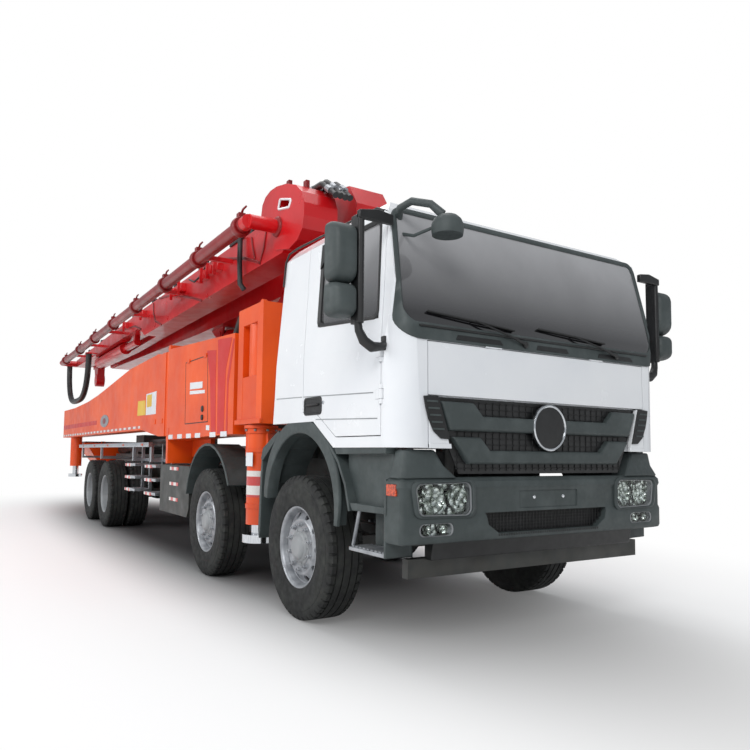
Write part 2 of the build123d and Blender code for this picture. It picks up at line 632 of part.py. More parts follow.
def hopper():
    """Open steel hopper behind the rails: a floor plate and four sloping wall plates, seam to seam."""
    rim = HOPPER_TOP + 1
    outer = hopper_form(0, HOPPER_TOP)
    reach = (HOPPER_X - HOPPER_LENGTHS[1], HOPPER_X + HOPPER_LENGTHS[1]), (-HOPPER_WIDTHS[1], HOPPER_WIDTHS[1])
    floor_top = HOPPER_BOTTOM + HOPPER_WALL
    floor = outer & block(*reach, (HOPPER_BOTTOM - 1, floor_top))
    walls = outer & block(*reach, (floor_top + SEAL_GAP, rim))
    sides = walls - hopper_form(HOPPER_WALL, rim, longer=HOPPER_LENGTHS[1])
    between = walls & hopper_form(HOPPER_WALL + SEAL_GAP, rim, longer=HOPPER_LENGTHS[1])
    ends = between - hopper_form(HOPPER_WALL, rim, wider=HOPPER_WIDTHS[1])
    return [floor, *sides.solids(), *ends.solids()]


def hopper_rim():
    """Steel band round the hopper's top with the grate's hinge lugs, and the brackets from the rails."""
    bowl = hopper_form(-SEAL_GAP, HOPPER_TOP)
    half = HOPPER_LENGTHS[1] / 2
    xs = (HOPPER_X - half, HOPPER_X + half)
    wide = HOPPER_WIDTHS[1] / 2
    rim = block((xs[0] - 20, xs[1] + 20), (-wide - 15, wide + 15), (HOPPER_TOP - 40, HOPPER_TOP))
    rim -= bowl
    for y in (-600, 600):
        for ys in ((y - 40, y - 25), (y + 25, y + 40)):
            rim += block((xs[1] + 6, GRATE_HINGE_X + 16), ys, (HOPPER_TOP - 30, GRATE_Z + 16))
        rim += cross_bar(GRATE_HINGE_X, GRATE_Z, 8, (y - 40, y + 40))
    bracket = block((HOPPER_X, RAIL_REAR), (RAIL_INNER_Y, RAIL_OUTER_Y), (850, 1050)) - bowl
    return [rim, bracket, mirrored(bracket)]


def hopper_grate():
    """Hinged grate over the hopper: a frame with bars along it and three across."""
    half = HOPPER_LENGTHS[1] / 2 - 5
    xs = (HOPPER_X - half, HOPPER_X + half)
    wide = HOPPER_WIDTHS[1] / 2 - 5
    zs = (HOPPER_TOP + SEAL_GAP, HOPPER_TOP + 30)
    grate = block(xs, (-wide, wide), zs) - block((xs[0] + 25, xs[1] - 25), (-wide + 25, wide - 25), (0, 2000))
    for n in range(GRATE_BARS):
        y = -wide + 2 * wide * (n + 1) / (GRATE_BARS + 1)
        grate += block(xs, (y - 6, y + 6), zs)
    for n in range(3):
        x = xs[0] + (xs[1] - xs[0]) * (n + 1) / 4
        grate += block((x - 6, x + 6), (-wide, wide), zs)
    for y in (-600, 600):
        tongue = block((xs[1] - 5, GRATE_HINGE_X), (y - 20, y + 20), (GRATE_Z - 10, GRATE_Z + 10))
        grate += tongue + cross_bar(GRATE_HINGE_X, GRATE_Z, 16, (y - 20, y + 20))
        grate -= cross_bar(GRATE_HINGE_X, GRATE_Z, 8 + PIN_GAP, (y - 60, y + 60))
    return grate


def pump_unit():
    """Two pump cylinders with the water box between the hopper and the deck."""
    shape = block((-8900, -8300), (-330, 330), (SUBFRAME_TOP, 1560))
    shape += block((-8900, -8300), (-RAIL_OUTER_Y, RAIL_OUTER_Y), (SUBFRAME_TOP, SUBFRAME_TOP + 40))
    for y in (-180, 180):
        shape += rod((HOPPER_X + 400, y, PUMP_Z), (-8800, y, PUMP_Z), PUMP_RADIUS) - hopper_form(0, HOPPER_TOP)
        shape += rod((-8400, y, 1380), (-6300, y, 1380), 95)
    shape += block((-6400, -6100), (-330, 330), (SUBFRAME_TOP, 1560))
    shape += block((-6400, -6100), (-RAIL_OUTER_Y, RAIL_OUTER_Y), (SUBFRAME_TOP, SUBFRAME_TOP + 40))
    return shape


def side_equipment():
    """Fuel tank on the right and its twin on the left, on straps from the rails."""
    tank = side_plate([(-3890, 520), (-2790, 520), (-2720, 620), (-2720, 1090), (-3890, 1090)],
                      (RAIL_OUTER_Y + 130, HALF_WIDTH - 50))
    for x in (-3750, -3370):
        tank += block((x - 30, x + 30), (RAIL_OUTER_Y, RAIL_OUTER_Y + 140), (820, 1000))
    return both_sides(tank)


def ladder(x):
    """Step column: three treads between two uprights, on a beam from the rail."""
    inner = HALF_WIDTH - 290
    shape = block((x - 227, x + 227), (RAIL_OUTER_Y, inner + 40), (1110, 1150))
    for z in (1070, 890, 710):
        shape += block((x - 230, x + 230), (inner + 20, HALF_WIDTH - 50), (z - 30, z + 5))
    for side in (-1, 1):
        middle = x + side * 215
        shape += block((middle - 12, middle + 12), (inner, inner + 40), (680, 1350))
    return shape


def side_guard():
    """Silver side rail over the rear wheels with its stays, and the two step columns."""
    inner = HALF_WIDTH - 70
    result = block((-9830, -4400), (inner, inner + 50), (1310, 1370))
    for x in (-9700, -7825, -5450, -4450):
        result += block((x - 25, x + 25), (RAIL_OUTER_Y, inner + 5), (1110, 1150))
        result += block((x - 25, x + 25), (inner - 30, inner + 5), (1110, 1350))
    for x in (-5450, -4350):
        result += ladder(x)
    return both_sides(result)


# Outriggers
def front_leg(side):
    """Diagonal slide with a wear collar at its inner end, and the upright leg frame and tube outside."""
    x, y = FRONT_LEG[0], side * FRONT_LEG[1]
    beam = slide_box(side, SLIDE_HALF, SLIDE_INNER, 60)
    beam += slide_box(side, SLIDE_HALF + SLIDE_GAP - SEAL_GAP, SLIDE_INNER, SLIDE_INNER + 160)
    tube = Pos(x, y, 1585) * Cylinder(120, 1930)
    frame = block((x - 280, x + 280), (y - 125, y + 125), (1500, FRONT_LEG_TOP))
    frame -= block((x - 160, x + 160), (y - 200, y + 200), (1540, 2400))
    bore = Pos(x, y, 1210) * Cylinder(LEG_ROD + ROD_GAP, 1200)
    return beam + frame + tube - bore


def lifting_ear(side):
    """Round-topped lug with an eye, on top of the front leg's frame."""
    x, y = FRONT_LEG[0], side * FRONT_LEG[1]
    foot = FRONT_LEG_TOP + SEAL_GAP
    lug = block((x - EAR_RADIUS, x + EAR_RADIUS), (y - 20, y + 20), (foot, EAR_Z)) + cross_bar(x, EAR_Z, EAR_RADIUS, (y - 20, y + 20))
    lug -= block((x - 200, x + 200), (y - 50, y + 50), (EAR_Z - 200, foot))
    return lug - cross_bar(x, EAR_Z, EAR_BORE, (y - 30, y + 30))


def front_foot(side):
    """Jack rod inside the leg tube, with its round pad."""
    x, y = FRONT_LEG[0], side * FRONT_LEG[1]
    return Pos(x, y, 1160) * Cylinder(LEG_ROD, 1260) + Pos(x, y, 500) * Cylinder(150, 70)


def rear_leg(side):
    """Long swing arm beside the deck, with the upright leg tube near its end."""
    x, y = REAR_PIVOT
    low, high = REAR_ARM_ZS
    points = [
        (x, low), (x, high), (x - 220, high), (-4000, 2500), (-5570, 2460), (-6230, 2400), (-6970, 2330),
        (-7980, 2240), (-8960, 2180), (-10470, 2140), (-11940, 2150), (-11940, 1540), (-4750, 1540), (-3900, low),
    ]
    middle = (low + high) / 2
    arm = side_plate(points, (y - REAR_KNUCKLE, y + 140)) + Pos(x, y, middle) * Cylinder(REAR_KNUCKLE, high - low)
    bore = Pos(x, y, middle) * Cylinder(REAR_PIN + PIN_GAP, 1200)
    tube = Pos(REAR_LEG_X, y, 1470) * Cylinder(115, 1100)
    shaft = Pos(REAR_LEG_X, y, 1410) * Cylinder(REAR_ROD + ROD_GAP, 1200)
    shape = arm + tube - bore - shaft
    return shape if side > 0 else mirrored(shape)


def rear_foot(side):
    """Jack rod inside the rear leg tube, with its pad."""
    x, y = REAR_LEG_X, REAR_PIVOT[1]
    shape = Pos(x, y, 1330) * Cylinder(REAR_ROD, 1180) + Pos(x, y, 720) * Cylinder(140, 60)
    return shape if side > 0 else mirrored(shape)


# Boom
def turret():
    """Slewing base with two cheeks that carry the first hinge and the lift cylinder's pin."""
    x1, z1 = HINGE_1
    inner, outer = ARM_1_HALF + 5, ARM_1_HALF + 5 + CHEEK
    base = Pos(TURRET_X, 0, TURRET_Z + PIN_GAP + 35) * Cylinder(440, 70)
    cheek = side_plate(
        [(-3150, 2000), (-2300, 2000), (-2230, 2700), (x1 - 60, z1 - 230), (x1 + 120, z1 - 130),
         (x1 + 120, z1 + 130), (x1 - 200, z1 + 150), (-2450, 3080), (-3150, 2750)], (inner, outer))
    web = block((-2380, -2330), (-inner - 2, inner + 2), (2000, 2650))
    pins = cross_bar(x1, z1, 60, (-outer, outer)) + cross_bar(*LIFT_BASE, 45, (-outer, outer))
    return base + both_sides(cheek) + web + pins


def arm_1():
    """First arm: tapering box, lug for the lift cylinder and cheeks for the second hinge."""
    x1, z1 = HINGE_1
    x2, z2 = HINGE_2
    end = x2 + 140
    box = side_plate([(x1 + 20, 3100), (x1 + 190, 3220), (x1 + 190, 3420), (x1 + 60, 3480), (end, 3470),
                      (end, 3220), (-5600, 3100)], (-ARM_1_HALF, ARM_1_HALF))
    ex, ez = LIFT_EYE
    lug_ys = (LIFT_EYE_HALF + 5, LIFT_EYE_HALF + 40)
    lug = side_plate([(ex - 350, 3105), (ex + 150, 3105), (ex + 80, ez - 60), (ex - 80, ez - 60)], lug_ys)
    lug += cross_bar(ex, ez, 60, (lug_ys[0], lug_ys[1] + 12))
    cheek = side_plate([(end + 800, 3240), (end + 700, 3460), (x2 + 90, z2 + 90), (x2 - 90, z2 + 90),
                        (x2 - 90, z2 - 90), (end, 3230)], (ARM_2_HALF + 5, ARM_2_HALF + 5 + CHEEK))
    pin = cross_bar(x2, z2, 50, (-ARM_2_HALF - 40, ARM_2_HALF + 40))
    pipe = rod((x1, 560, z1), (x2, 560, 3340), PIPE_RADIUS)
    pipe += rod((x1, 560, z1), (x1, 290, z1), PIPE_RADIUS)
    clips = [block((x - 20, x + 20), (ARM_1_HALF - 5, 560), (3300, 3360)) for x in (-3500, -5800, -8100, -10400)]
    bore = cross_bar(x1, z1, 60 + PIN_GAP, (-400, 400))
    shape = box + both_sides(lug) + both_sides(cheek) + pin + pipe
    for clip in clips:
        shape += clip
    return shape - bore


def arm_2():
    """Second arm on top of the first, with the drop head that carries the third hinge."""
    x2, z2 = HINGE_2
    x3, z3 = HINGE_3
    box = side_plate([(x2 + 140, 3610), (-1450, 3600), (-1600, 3500), (-1550, 3220), (x3 - 200, 3160), (x3 + 140, 3180),
                      (x3 + 260, 3330), (x3 + 300, 3700), (x3 + 150, 3920), (x3 - 150, 3980), (-2400, 3980), (x2 + 140, 3860)],
                     (-ARM_2_HALF, ARM_2_HALF))
    lug = side_plate([(x2 + 300, 3620), (x2 - 60, 3620), (x2 - 85, z2 + 30), (x2 - 60, z2 - 75), (x2 + 60, z2 - 75), (x2 + 120, 3600)],
                     (-ARM_2_HALF, ARM_2_HALF))
    bore = cross_bar(x2, z2, 50 + PIN_GAP, (-400, 400))
    pin = cross_bar(x3, z3, 55, (LANE_3[0] + 20, 0))
    pipe = rod((x2, 380, 3740), (x3, 380, 3740), PIPE_RADIUS)
    clips = [block((x - 20, x + 20), (ARM_2_HALF - 5, 380), (3710, 3770)) for x in (-3000, -5300, -7600, -9900)]
    shape = box + lug + pin + pipe
    for clip in clips:
        shape += clip
    return shape - bore


def arm_3():
    """Third arm in the outer lane: deep root, slender tip, and the long delivery pipe beside it."""
    x3, z3 = HINGE_3
    x4, z4 = HINGE_4
    box = side_plate([(x3 + 120, 3560), (x3 + 240, 3420), (x3 + 200, 3230), (x3 + 60, 3150), (-6250, 3110), (-6450, 3200),
                      (-6600, ARM_3_TIP_Z), (x4 - 60, ARM_3_TIP_Z), (x4 - ARM_END, 3380), (x4 - 50, 3450), (-6500, 3560)], LANE_3)
    head = side_plate([(x3 + dx, z3 + dz) for dx, dz in HEAD_PLATE], (LANE_3[0] - 25, LANE_3[1]))
    head -= side_plate([(x3 + dx, z3 + dz) for dx, dz in HEAD_SLOT], (LANE_3[0] - 40, LANE_3[0] + 80))
    bore = cross_bar(x3, z3, 55 + PIN_GAP, (LANE_3[0] + 15, LANE_3[1] + 60))
    pin = cross_bar(x4, z4, 50, (LANE_3[1] - 20, LANE_4[1] + 20))
    pipe = rod((x4, PIPE_Y, z4), (x3, PIPE_Y, z3), PIPE_RADIUS)
    ends = [rod((x, PIPE_Y, z), (x, LANE_3[0] - 5, z), PIPE_RADIUS) for x, z in (HINGE_3, HINGE_4)]
    clips = [block((x - 25, x + 25), (PIPE_Y, LANE_3[0] + 5), (3350, 3400)) for x in (-2400, -4200, -6000, -7800, -9600, -11400)]
    hooks = [
        block((x - 70, x + 70), (HOSE_Y - 65, LANE_3[0] + 5), (HOSE_TOP + SEAL_GAP, HOSE_TOP + 25)) for x in HOSE_XS
    ]
    y, z = (LANE_3[0] + LANE_3[1]) / 2, ARM_3_TIP_Z - 115
    ram = [rod((-10800, y, z), (-8300, y, z), 110), rod((-8300, y, z), (-7400, y, z), 60)]
    ram += [block((x - 60, x + 60), (y - 45, y + 45), (z, ARM_3_TIP_Z + 5)) for x in (-10740, -7460)]
    shape = box + head + pin + pipe
    for piece in ends + clips + hooks + ram:
        shape += piece
    return shape - bore


def arm_4():
    """Fourth arm in the lane between, with cheeks for the fifth hinge."""
    x4, z4 = HINGE_4
    x5, z5 = HINGE_5
    box = side_plate([(x4 - 80, 3260), (x4 - 90, 3420), (x4 + 60, 3540), (x5 - 110, 3560), (x5 - 110, 3320), (-9000, 3220)], LANE_4)
    cheeks = side_plate([(x5 - 500, 3420), (x5 + 60, 3560), (x5 + 70, z5 + 60), (x5 - 70, z5 + 70), (x5 - 120, 3560), (x5 - 700, 3500)],
                        (LANE_4[1], LANE_4[1] + 18))
    other = side_plate([(x5 - 500, 3420), (x5 + 60, 3560), (x5 + 70, z5 + 60), (x5 - 70, z5 + 70), (x5 - 120, 3560), (x5 - 700, 3500)],
                       (LANE_4[0] - 18, LANE_4[0]))
    pin = cross_bar(x5, z5, 28, (LANE_4[0] - 10, LANE_4[1] + 10))
    bore = cross_bar(x4, z4, 50 + PIN_GAP, (-600, -200))
    lug = side_plate([(x4 + 40, 3350), (x4 + 200, 2980), (x4 + 500, 2980), (x4 + 520, 3330)], LANE_4)
    drum = cross_bar(x4 + 350, 2960, 150, (LANE_4[0] - 15, LANE_4[1] + 15))
    return box + cheeks + other + pin + lug + drum - bore


def arm_5():
    """Last arm above the fourth."""
    x5, z5 = HINGE_5
    tip = -11600
    box = side_plate([(x5 - 110, 3690), (x5 - 110, 3815), (tip, 3790), (tip, 3700)], LANE_5)
    lug = side_plate([(x5 - 200, 3800), (x5 + 20, 3700), (x5 + 50, z5), (x5 + 20, z5 - 45), (x5 - 40, z5 - 45), (x5 - 130, 3692)], LANE_5)
    bore = cross_bar(x5, z5, 28 + PIN_GAP, (-600, -200))
    return box + lug - bore


def lift_axis():
    run = (LIFT_EYE[0] - LIFT_BASE[0], LIFT_EYE[1] - LIFT_BASE[1])
    length = hypot(*run)
    return run[0] / length, run[1] / length, length


def along_lift(distance):
    ux, uz, length = lift_axis()
    return (LIFT_BASE[0] + ux * distance, 0, LIFT_BASE[1] + uz * distance)


def lift_barrel():
    length = lift_axis()[2]
    tube = rod(along_lift(60), along_lift(length - 190), 115)
    tube -= rod(along_lift(140), along_lift(length), LIFT_ROD + ROD_GAP)
    return tube + cross_bar(*LIFT_BASE, 95, (-90, 90)) - cross_bar(*LIFT_BASE, 45 + PIN_GAP, (-120, 120))


def lift_rod():
    length = lift_axis()[2]
    bar = rod(along_lift(170), along_lift(length - 40), LIFT_ROD)
    eye = cross_bar(*LIFT_EYE, 85, (-LIFT_EYE_HALF, LIFT_EYE_HALF))
    return bar + eye - cross_bar(*LIFT_EYE, 40, (-100, 100))


def hose_route():
    """Points of the hose that hangs in a loop under the third arm's rear end."""
    rear, front = HOSE_XS
    drop, low = 450, HOSE_TOP - 888
    points = [(rear, HOSE_TOP), (rear, low + drop), (rear + drop, low), ((rear + front) / 2, low - 40)]
    points += [(front - drop, low), (front, low + drop), (front, HOSE_TOP)]
    return [Vector(x, HOSE_Y, z) for x, z in points]


def hose_radii(points):
    """The bend radius at each inner point: as large as the shorter run beside it allows."""
    radii = []
    for before, corner, after in zip(points, points[1:], points[2:]):
        first, second = corner - before, after - corner
        turn = radians(first.get_angle(second))
        radii.append(0.45 * min(first.length, second.length) / tan(turn / 2))
    return radii


def boom_hose():
    """Heavy delivery hose, held by both ends under the third arm."""
    points = hose_route()
    radii = hose_radii(points)
    print("hose bend radii", [round(radius) for radius in radii])
    path = FilletPolyline(*points, radius=radii)
    print("hose length", round(path.length))
    section = Plane(origin=points[0], z_dir=(0, 0, -1)) * Circle(HOSE_RADIUS)
    return sweep(section, path=path)


# Everything
def build():
    save("chassis_frame", chassis_frame())
    save("subframe", subframe())
    save("engine_block", engine_block())
    save("front_axles", front_axle(AXLES[0]), front_axle(AXLES[1]))
    save("rear_bogie", rear_bogie())
    shell, flap, door, windshield, door_glass = cab_parts()
    save("cab_shell", shell)
    save("windshield", windshield)
    save("front_flap", flap)
    save("grille", grille())
    save("bumper", bumper())
    save("lamps", *lamps())
    save("cab_interior", *cab_interior())
    save("mirrors", *mirrors())
    first, second = fenders()
    save("fenders", first, second)
    save("side_housings", housings())
    save("pivot_posts", pivot_posts())
    save("hopper", *hopper())
    save("hopper_rim", *hopper_rim())
    save("hopper_grate", hopper_grate())
    save("pump_unit", pump_unit())
    save("tanks", side_equipment())
    save("side_guards", side_guard())
    for side, name in ((1, "left"), (-1, "right")):
        save(f"door_{name}", door if side > 0 else mirrored(door))
        save(f"door_glass_{name}", door_glass if side > 0 else mirrored(door_glass))
        save(f"front_leg_{name}", front_leg(side))
        save(f"lifting_ear_{name}", lifting_ear(side))
        save(f"front_foot_{name}", front_foot(side))
        save(f"rear_leg_{name}", rear_leg(side))
        save(f"rear_foot_{name}", rear_foot(side))
        for number, x in enumerate(AXLES, 1):
            if number <= 2:
                wheel = place_wheel(steered_wheel(), x, FRONT_TRACK_Y, side)
                pivot = Pos(x, KINGPIN_Y, AXLE_Z) * knuckle()
                save(f"knuckle_{number}_{name}", pivot if side > 0 else mirrored(pivot))
            else:
                wheel = place_wheel(twin_wheel(), x, TWIN_Y, side)
            save(f"wheel_{number}_{name}", *wheel)
    save("turret", turret())
    save("boom_arm_1", arm_1())
    save("boom_arm_2", arm_2())
    save("boom_arm_3", arm_3())
    save("boom_arm_4", arm_4())
    save("boom_arm_5", arm_5())
    save("lift_barrel", lift_barrel())
    save("lift_rod", lift_rod())
    save("boom_hose", boom_hose())


build()
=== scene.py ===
from math import cos, pi, radians, sin, sqrt, tau

import bmesh
import bpy
from mathutils import Matrix, Vector


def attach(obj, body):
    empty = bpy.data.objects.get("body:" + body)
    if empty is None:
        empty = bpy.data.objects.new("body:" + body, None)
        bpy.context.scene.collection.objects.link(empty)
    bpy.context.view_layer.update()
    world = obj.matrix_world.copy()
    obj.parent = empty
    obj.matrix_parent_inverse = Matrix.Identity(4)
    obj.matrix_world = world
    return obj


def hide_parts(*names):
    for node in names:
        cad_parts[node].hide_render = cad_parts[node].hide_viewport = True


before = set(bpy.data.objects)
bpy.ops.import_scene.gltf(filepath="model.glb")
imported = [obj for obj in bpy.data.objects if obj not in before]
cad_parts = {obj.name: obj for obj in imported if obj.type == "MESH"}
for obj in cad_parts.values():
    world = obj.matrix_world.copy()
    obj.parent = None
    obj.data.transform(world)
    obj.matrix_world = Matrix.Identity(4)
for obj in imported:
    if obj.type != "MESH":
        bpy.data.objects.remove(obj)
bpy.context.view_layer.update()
bpy.context.scene.view_settings.view_transform = "Standard"

# Every place below is in metres from the first axle: x forward, y left, z up from the ground.
AXLE = 5.665
AXLES = (0.0, -2.1, -7.15, -8.5)
SIDES = {"left": 1, "right": -1}


# Camera at the photograph's place: yaw, pitch and roll are in degrees
CAMERA_PLACE = (10.266, -3.513, 1.25)
CAMERA_ANGLES = (148.36, 3.96, 0.65)
CAMERA_LENS = 32.04
CAMERA_SHIFT = (0.0218, 0.0434)


def camera():
    yaw, pitch, roll = (radians(angle) for angle in CAMERA_ANGLES)
    ahead = Vector((cos(yaw) * cos(pitch), sin(yaw) * cos(pitch), sin(pitch)))
    right = ahead.cross(Vector((0, 0, 1))).normalized()
    up = right.cross(ahead)
    right_rolled = right * cos(roll) + up * sin(roll)
    up_rolled = up * cos(roll) - right * sin(roll)
    turn = Matrix((right_rolled, up_rolled, -ahead)).transposed()
    data = bpy.data.cameras.new("photo_camera")
    data.lens = CAMERA_LENS
    data.sensor_width = 36
    data.shift_x, data.shift_y = CAMERA_SHIFT
    data.clip_end = 200
    item = bpy.data.objects.new("photo_camera", data)
    item.matrix_world = Matrix.Translation(CAMERA_PLACE) @ turn.to_4x4()
    bpy.context.scene.collection.objects.link(item)
    bpy.context.scene.camera = item


# Hose that hangs in a loop under the third arm
HOSE_Y = -1.035
HOSE_ROUTE = ((-12.85, 3.288), (-12.85, 2.85), (-12.4, 2.4), (-11.575, 2.36), (-10.75, 2.4), (-10.3, 2.85),
              (-10.3, 3.288))
HOSE_DIAMETER = 0.12


def hose():
    """The delivery hose, held by both ends."""
    data = bpy.data.curves.new("delivery_hose", "CURVE")
    data.dimensions = "3D"
    data.bevel_depth = HOSE_DIAMETER / 2
    data.bevel_resolution = 6
    data.resolution_u = 24
    data.use_fill_caps = True
    line = data.splines.new("NURBS")
    line.points.add(len(HOSE_ROUTE) - 1)
    for point, (x, z) in zip(line.points, HOSE_ROUTE):
        point.co = (x + AXLE, HOSE_Y, z, 1)
    line.order_u = 3
    line.use_endpoint_u = True
    data.materials.append(SKINS["hose_rubber"])
    item = bpy.data.objects.new("delivery_hose", data)
    bpy.context.scene.collection.objects.link(item)
    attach(item, "arm_3")
    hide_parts("boom_hose")
    return item


# Materials
def tint(red, green, blue):
    """A colour as a screen shows it, in the shader's linear numbers."""
    def linear(level):
        return ((level / 255 + 0.055) / 1.055) ** 2.4 if level > 10 else level / 3294
    return (linear(red), linear(green), linear(blue), 1)


class Nodes:
    """Adds nodes to a shader tree and links them."""

    def __init__(self, tree):
        self.tree = tree

    def node(self, kind, **values):
        """A node with its settings, in small letters, and its sockets, in capitals."""
        made = self.tree.nodes.new(kind)
        for key, value in values.items():
            if key[0].isupper():
                self.feed(made, key.replace("_", " "), value)
            else:
                setattr(made, key, value)
        return made

    def feed(self, node, socket, value):
        if isinstance(value, bpy.types.NodeSocket):
            self.tree.links.new(value, node.inputs[socket])
        else:
            node.inputs[socket].default_value = value

    def times(self, first, second):
        made = self.node("ShaderNodeMath", operation="MULTIPLY")
        self.feed(made, 0, first)
        self.feed(made, 1, second)
        return made.outputs[0]

    def mix(self, share, first, second):
        made = self.node("ShaderNodeMix", data_type="RGBA")
        self.feed(made, 0, share)
        self.feed(made, 6, first)
        self.feed(made, 7, second)
        return made.outputs[2]

    def join(self, share, first, second):
        """Mixes two shaders."""
        made = self.node("ShaderNodeMixShader")
        for socket, value in enumerate((share, first, second)):
            self.feed(made, socket, value)
        return made.outputs[0]

    def seen_directly(self):
        """1 for camera, glossy and transmission rays, else 0."""
        rays = self.node("ShaderNodeLightPath").outputs
        top = rays["Is Camera Ray"]
        for kind in ("Is Glossy Ray", "Is Transmission Ray"):
            larger = self.node("ShaderNodeMath", operation="MAXIMUM")
            self.feed(larger, 0, top)
            self.feed(larger, 1, rays[kind])
            top = larger.outputs[0]
        return top

    def far_out(self, along, low, high):
        """0 nearer than low to the middle, 1 further than high, with x scaled by along."""
        place = self.node("ShaderNodeTexCoord").outputs["Object"]
        narrow = self.node("ShaderNodeMapping", Scale=(along, 1.0, 1.0), Vector=place).outputs[0]
        away = self.node("ShaderNodeVectorMath", operation="LENGTH")
        self.feed(away, 0, narrow)
        fade = self.node("ShaderNodeMapRange", interpolation_type="SMOOTHSTEP", Value=away.outputs["Value"],
                         From_Min=low, From_Max=high)
        return fade.outputs[0]


class Finish(Nodes):
    """One procedural material, built node by node."""

    def __init__(self, name, rough, metal=0.0, coat=0.0):
        self.material = bpy.data.materials.new(name)
        self.material.use_nodes = True
        super().__init__(self.material.node_tree)
        self.shader = self.tree.nodes["Principled BSDF"]
        first = {"Metallic": metal, "Roughness": rough, "Coat Weight": coat, "Coat Roughness": 0.08}
        for socket, value in first.items():
            self.feed(self.shader, socket, value)
        self.place = self.node("ShaderNodeTexCoord").outputs["Object"]
        self.normal = None

    def noise(self, scale, detail=4.0, stretch=(1, 1, 1)):
        place = self.node("ShaderNodeMapping", Scale=stretch, Vector=self.place).outputs[0]
        return self.node("ShaderNodeTexNoise", Scale=scale, Detail=detail, Vector=place).outputs["Fac"]

    def spread(self, value, low, high, to_low=0.0, to_high=1.0):
        made = self.node("ShaderNodeMapRange", Value=value)
        for key, number in zip(("From Min", "From Max", "To Min", "To Max"), (low, high, to_low, to_high)):
            made.inputs[key].default_value = number
        return made.outputs[0]

    def height(self):
        return self.node("ShaderNodeSeparateXYZ", Vector=self.place).outputs["Z"]

    def colour(self, value):
        self.feed(self.shader, "Base Color", value)

    def roughness(self, value):
        self.feed(self.shader, "Roughness", value)

    def bump(self, value, strength, distance=0.001):
        made = self.node("ShaderNodeBump", Strength=strength, Distance=distance, Height=value)
        if self.normal:
            self.tree.links.new(self.normal, made.inputs["Normal"])
        self.normal = made.outputs[0]
        self.tree.links.new(self.normal, self.shader.inputs["Normal"])

    def soft_edges(self, radius):
        self.normal = self.node("ShaderNodeBevel", samples=4, Radius=radius).outputs[0]
        self.tree.links.new(self.normal, self.shader.inputs["Normal"])


def paint(name, base, deep, rough=0.28, coat=0.5, edge=0.005, dust=0.25, dust_top=1.1, waves=0.02):
    """Sprayed paint: slow colour drift, an uneven gloss, faint orange peel and road dust low down."""
    made = Finish(name, rough, coat=coat)
    if edge:
        made.soft_edges(edge)
    drift = made.spread(made.noise(1.4), 0.35, 0.7)
    body = made.mix(drift, base, deep)
    speck = made.spread(made.noise(38, 6), 0.62, 0.8, 0, 0.35)
    body = made.mix(speck, body, deep)
    low = made.spread(made.height(), 0.5, dust_top, 1, 0)
    dirt = made.times(made.times(low, made.spread(made.noise(9, 8), 0.3, 0.7)), dust)
    made.colour(made.mix(dirt, body, tint(96, 88, 78)))
    made.roughness(made.spread(made.noise(5), 0.3, 0.7, rough * 0.8, rough * 1.3))
    made.bump(made.noise(260, 2), waves)
    return made.material


def plastic(name, base, worn, rough=0.55, edge=0.006, grain=0.12):
    """Moulded plastic: fine leather-like grain, paler where it has rubbed."""
    made = Finish(name, rough)
    if edge:
        made.soft_edges(edge)
    rub = made.spread(made.noise(6, 8), 0.45, 0.75)
    made.colour(made.mix(rub, base, worn))
    made.roughness(made.spread(made.noise(30), 0.3, 0.7, rough * 0.85, rough * 1.15))
    cells = made.node("ShaderNodeTexVoronoi", Scale=420, Vector=made.place).outputs["Distance"]
    made.bump(cells, grain, 0.0006)
    return made.material


def metal(name, base, deep, rough=0.3, metallic=1.0, lines=(1, 1, 40), edge=0.003):
    """Bare or plated metal with drawn lines and a few dull patches."""
    made = Finish(name, rough, metal=metallic)
    if edge:
        made.soft_edges(edge)
    streak = made.noise(12, 6, lines)
    made.colour(made.mix(made.spread(streak, 0.35, 0.7), base, deep))
    made.roughness(made.spread(made.noise(7, 6), 0.3, 0.75, rough * 0.7, rough * 1.5))
    made.bump(streak, 0.05)
    return made.material


def rubber(name, base, dusty, rough=0.75):
    made = Finish(name, rough)
    patch = made.spread(made.noise(11, 8), 0.42, 0.72)
    made.colour(made.mix(patch, base, dusty))
    made.roughness(made.spread(made.noise(24), 0.3, 0.7, rough * 0.85, min(1, rough * 1.15)))
    made.bump(made.noise(180, 4), 0.25)
    return made.material


def tinted_glass(name, top, low, dark, pale):
    """Dark glass with a painted reflection of the sky, paler towards its top."""
    made = Finish(name, 0.04, coat=1.0)
    # Painted reflection: the colour turns pale towards the top, as the sky would show in the glass.
    sky_reflection_share = made.spread(made.height(), low, top)
    haze = made.spread(made.noise(2.5), 0.3, 0.8, 0, 0.2)
    made.colour(made.mix(haze, made.mix(sky_reflection_share, dark, pale), dark))
    made.roughness(made.spread(made.noise(4, 6), 0.3, 0.8, 0.02, 0.07))
    made.shader.inputs["Specular IOR Level"].default_value = 0.6
    return made.material


def clear_glass(name):
    made = Finish(name, 0.02)
    made.shader.inputs["Transmission Weight"].default_value = 1.0
    made.shader.inputs["IOR"].default_value = 1.2
    made.colour(made.mix(made.spread(made.noise(3), 0.3, 0.8), tint(250, 252, 252), tint(232, 238, 240)))
    made.bump(made.node("ShaderNodeTexWave", Scale=22, Vector=made.place).outputs["Fac"], 0.15, 0.0008)
    return made.material


def lit_lens(name, base, deep):
    """Coloured lamp plastic with moulded prisms."""
    made = Finish(name, 0.18, coat=0.6)
    cells = made.node("ShaderNodeTexVoronoi", Scale=90, Vector=made.place).outputs["Distance"]
    made.colour(made.mix(made.spread(cells, 0.1, 0.8), base, deep))
    made.bump(cells, 0.6, 0.002)
    return made.material


